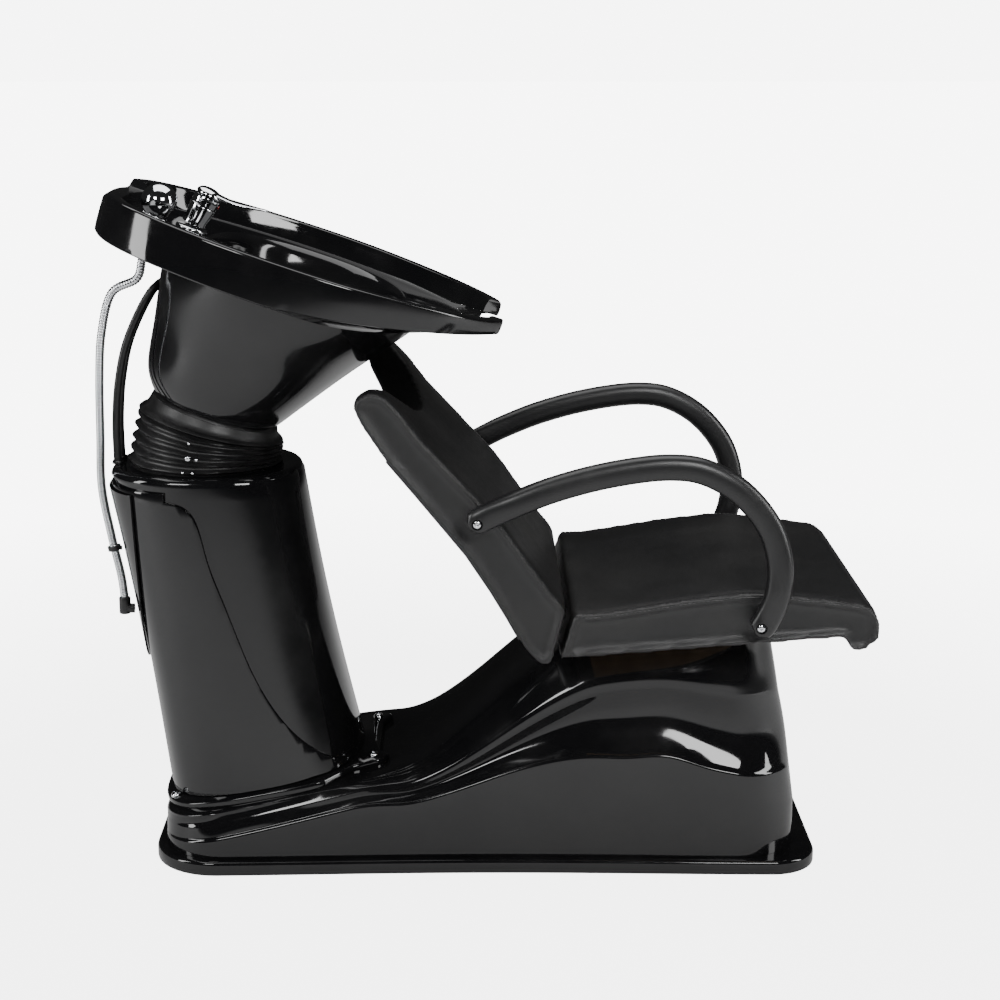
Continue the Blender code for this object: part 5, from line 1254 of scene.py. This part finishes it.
def swell(pad, held):
    # voxel mesh, then pressure from inside; held says how firmly a point stays, from 0 to 1
    applied(pad, "REMESH", mode="VOXEL", voxel_size=cushionLook["voxel"])
    applied(pad, "SMOOTH", factor=0.5, iterations=4)
    before = [vertex.co.copy() for vertex in pad.data.vertices]
    pins = pad.vertex_groups.new(name="held")
    for vertex in pad.data.vertices:
        pins.add([vertex.index], held(vertex.co), "REPLACE")
    selectOnly(pad)
    cloth = pad.modifiers.new("Cloth", "CLOTH")
    cloth.settings.use_pressure = True
    cloth.settings.uniform_pressure_force = cushionLook["pressure"]
    cloth.settings.effector_weights.gravity = 0
    cloth.settings.quality = 4
    cloth.settings.mass = 0.3
    cloth.settings.tension_stiffness = cloth.settings.compression_stiffness = 25
    cloth.settings.vertex_group_mass = "held"
    cloth.point_cache.frame_end = cushionLook["frames"]
    for step in range(1, cushionLook["frames"] + 1):
        bpy.context.scene.frame_set(step)
    bpy.ops.object.modifier_apply(modifier=cloth.name)
    bpy.context.scene.frame_set(1)
    for vertex, start in zip(pad.data.vertices, before):
        move = vertex.co - start
        if move.length > cushionLook["cap"]:
            vertex.co = start + move * (cushionLook["cap"] / move.length)
    pad.vertex_groups.clear()
    applied(pad, "SMOOTH", factor=0.4, iterations=3)
    applied(pad, "SUBSURF", levels=1, render_levels=1)
    return smoothShade(pad, 60)


def onPad(pad, point):
    found, spot, normal, face = pad.closest_point_on_mesh(point)
    return spot, normal


def seamRun(pad, name, points, away):
    # a fine raised seam, with a row of stitches on each side of it
    line = evenly(points, int(pathLength(points) / 0.003) + 1)
    bead = []
    for point in line:
        spot, normal = onPad(pad, point)
        bead.append(spot - normal * cushionLook["bead"] * 0.45)
    smooth = [bead[0]] + [(bead[k - 1] + bead[k] * 2 + bead[k + 1]) / 4 for k in range(1,
                                                                                       len(bead)
                                                                                       - 1)] + [bead[-1]]
    run = tube(name + "Bead", smooth, lambda length: cushionLook["bead"], 10)
    setIn(run, "base", "black_leatherette")
    for label, shift in (("In", away[0]), ("Out", away[1])):
        row = []
        for point in line:
            spot, normal = onPad(pad, point + shift(point) * cushionLook["beside"])
            row.append(spot + normal * cushionLook["thread"] * 0.3)
        stitches(name + "Stitch" + label, row)


def stitches(name, row):
    data = bpy.data.curves.new(name + "Line", "CURVE")
    data.dimensions = "3D"
    line = data.splines.new("POLY")
    line.points.add(len(row) - 1)
    for place, point in zip(line.points, row):
        place.co = (*point, 1.0)
    guide = bpy.data.objects.new(name + "Line", data)
    bpy.context.scene.collection.objects.link(guide)
    thin, long = cushionLook["thread"], cushionLook["stitch"]
    profile = [(thin * 0.3, 0.0), (thin, long * 0.15), (thin * 1.1, long * 0.5), (thin, long * 0.85),
               (thin * 0.3, long)]
    stitch = turned(name, profile, (0, 0, 0), (1, 0, 0), 6)
    applied(stitch, "ARRAY", fit_type="FIT_LENGTH", fit_length=pathLength(row), use_relative_offset=False,
            use_constant_offset=True, constant_offset_displace=(cushionLook["pitch"], 0, 0))
    applied(stitch, "CURVE", object=guide, deform_axis="POS_X")
    bpy.data.objects.remove(guide, do_unlink=True)
    setIn(stitch, "base", "black_leatherette")
    stitch.data.materials[0] = threadBlack.material


seatTop = [(0.127, 0.428), (0.149, 0.426), (0.192, 0.431), (0.293, 0.448), (0.370, 0.457), (0.422, 0.456),
           (0.498, 0.447), (0.548, 0.440)]
seatFront = [(0.566, 0.427), (0.573, 0.404), (0.572, 0.384), (0.562, 0.372), (0.542, 0.377)]
backRear = [(-0.192, 0.722), (-0.183, 0.700), (-0.146, 0.644), (-0.101, 0.590), (-0.056, 0.535),
            (-0.030, 0.503),
            (0.005, 0.450), (0.030, 0.408), (0.050, 0.372), (0.068, 0.349)]
backFront = [(-0.167, 0.750), (-0.142, 0.745), (-0.120, 0.722), (-0.093, 0.686), (-0.055, 0.644),
             (-0.002, 0.588),
             (0.028, 0.554), (0.071, 0.493), (0.099, 0.455)]


def makeSeat():
    outline = [(0.121, 0.420)] + seatTop + seatFront + [(0.520, seatUnder(0.520)), (0.101, seatUnder(0.101))]
    pad = padShape("seatPad", outline)

    def held(point):
        above = point.z - seatUnder(point.x)
        side = cushionLook["half"] - abs(point.y)
        if above < 0.012 or point.x < 0.125:
            return 1.0
        near = min(max((0.016 - side) / 0.012, 0.0), 1.0)
        return 0.35 + 0.6 * near if above > 0.05 else 0.75

    swell(pad, held)
    for side in (-1, 1):
        y = side * (cushionLook["half"] - 0.004)
        path = curvePoints([Vector((x, y, z - 0.002)) for x, z in seatTop + seatFront[:3]], 12)
        out = Vector((0, side, 0))
        seamRun(pad, "seatSeam" + ("Right" if side < 0 else "Left"), path,
                (lambda p, o=out: (Vector((0, 0, 1)) if p.x < 0.545 else Vector((1, 0, 0.2))) * 1.0 - o * 1.3,
                 lambda p, o=out: (Vector((0, 0, -1)) if p.x < 0.545 else Vector((-1, 0,
                                                                                  -0.2))) * 1.0 + o * 1.3))
    setIn(pad, "base", "black_leatherette", "seat_cushion")


def makeBack():
    outline = backFront + [(0.116, 0.436), (0.120, 0.424), (0.099, 0.343), (0.084, 0.339)]
    outline += list(reversed(backRear)) + [(-0.188, 0.738)]
    pad = padShape("backPad", outline)
    top = Vector((-0.167, 0, 0.750 + 0.260 - 0.030 - 0.002))
    aside = Vector((0.15, 0, 0.15))
    carve(pad, bar("scoopTool", top - aside, top + aside, 0.260, 180))

    def held(point):
        side = cushionLook["half"] - abs(point.y)
        behind = min((Vector((point.x, 0, point.z)) - Vector((a, 0, b))).length for a, b in backRear)
        if point.z < 0.430 or behind < 0.012:
            return 1.0
        near = min(max((0.016 - side) / 0.012, 0.0), 1.0)
        return 0.35 + 0.6 * near

    swell(pad, held)
    for side in (-1, 1):
        y = side * (cushionLook["half"] - 0.004)
        path = curvePoints([Vector((x, y, z)) for x, z in [(-0.187, 0.728), (-0.180, 0.741)] + backFront[:-1]
                            + [(0.104, 0.447)]], 12)
        out = Vector((0, side, 0))
        front = Vector((0.74, 0, 0.67))
        seamRun(pad, "backSeam" + ("Right" if side < 0 else "Left"), path,
                (lambda p, o=out: front - o * 1.3, lambda p, o=out: o * 1.3 - front))
    setIn(pad, "base", "black_leatherette", "back_cushion")


makeSeat()
print("seat cushion made")
makeBack()
print("back cushion made")


# studio
studio = {"floor": (0.86, 0.86, 0.86), "behind": 7.0, "around": 0.02, "glow": 7.5, "near": 0.66, "far": 1.0}


def makeFloor():
    selectNone()
    bpy.ops.mesh.primitive_plane_add(size=60, location=(0, 0, -0.0008))
    ground = bpy.context.object
    ground.name = "studioFloor"
    paint = Finish("studioFloorPaint", Roughness=0.75)
    paint.send("Base Color", paint.blend(paint.noise(2.0, 2.0), studio["floor"], (0.84, 0.84, 0.84)))
    # the floor has a painted glow that only the camera sees, so it passes into the white behind it; the glow
    # is weaker near the middle, where the lamps' real shadows show
    tree = paint.tree
    glow = tree.nodes.new("ShaderNodeEmission")
    glow.inputs["Strength"].default_value = studio["glow"]
    reach = paint.node("ShaderNodeVectorMath", {"operation": "LENGTH"}, [paint.place], out=1)
    fade = paint.ramp(reach * 0.4, (0.35, studio["near"]), (0.9, studio["far"]))
    seen = paint.node("ShaderNodeLightPath")
    mixed = paint.node("ShaderNodeMixShader", {}, {0: fade * seen, 1: Wire(paint, paint.shader.outputs[0]),
                                                   2: Wire(paint, glow.outputs[0])})
    tree.links.new(mixed.socket, tree.nodes["Material Output"].inputs["Surface"])
    ground.data.materials.append(paint.material)
    return ground


makeFloor()


def softbox(name, place, aim, width, height, power, colour=(1, 1, 1)):
    lamp = bpy.data.lights.new(name, "AREA")
    lamp.shape, lamp.size, lamp.size_y, lamp.energy, lamp.color = "RECTANGLE", width, height, power, colour
    box = bpy.data.objects.new(name, lamp)
    bpy.context.scene.collection.objects.link(box)
    box.location = place
    box.rotation_euler = (Vector(aim) - Vector(place)).to_track_quat("-Z", "Y").to_euler()
    return box


softbox("overheadBox", (0.0, 0.4, 3.2), (0, 0, 0.3), 3.0, 2.4, 80)
softbox("frontRightBox", (0.95, -2.6, 1.9), (0.2, 0, 0.3), 0.9, 0.7, 45)
softbox("leftStrip", (-2.6, -0.9, 1.3), (-0.3, 0, 0.6), 0.5, 1.9, 42)
softbox("rightStrip", (2.6, -0.6, 1.4), (0.0, 0, 0.6), 0.5, 1.9, 42)
softbox("frontLeftBox", (-1.3, -2.4, 2.1), (-0.3, 0, 0.8), 0.7, 0.6, 26)

world = bpy.data.worlds.new("studioWorld")
bpy.context.scene.world = world
world.use_nodes = True
air = world.node_tree
sky = air.nodes["Background"]
sky.inputs["Color"].default_value = (1, 1, 1, 1)
seen = air.nodes.new("ShaderNodeLightPath")
level = air.nodes.new("ShaderNodeMix")
level.data_type = "FLOAT"
level.inputs[2].default_value = studio["around"]
level.inputs[3].default_value = studio["behind"]
air.links.new(seen.outputs["Is Camera Ray"], level.inputs[0])
air.links.new(level.outputs[0], sky.inputs["Strength"])
print("studio made")
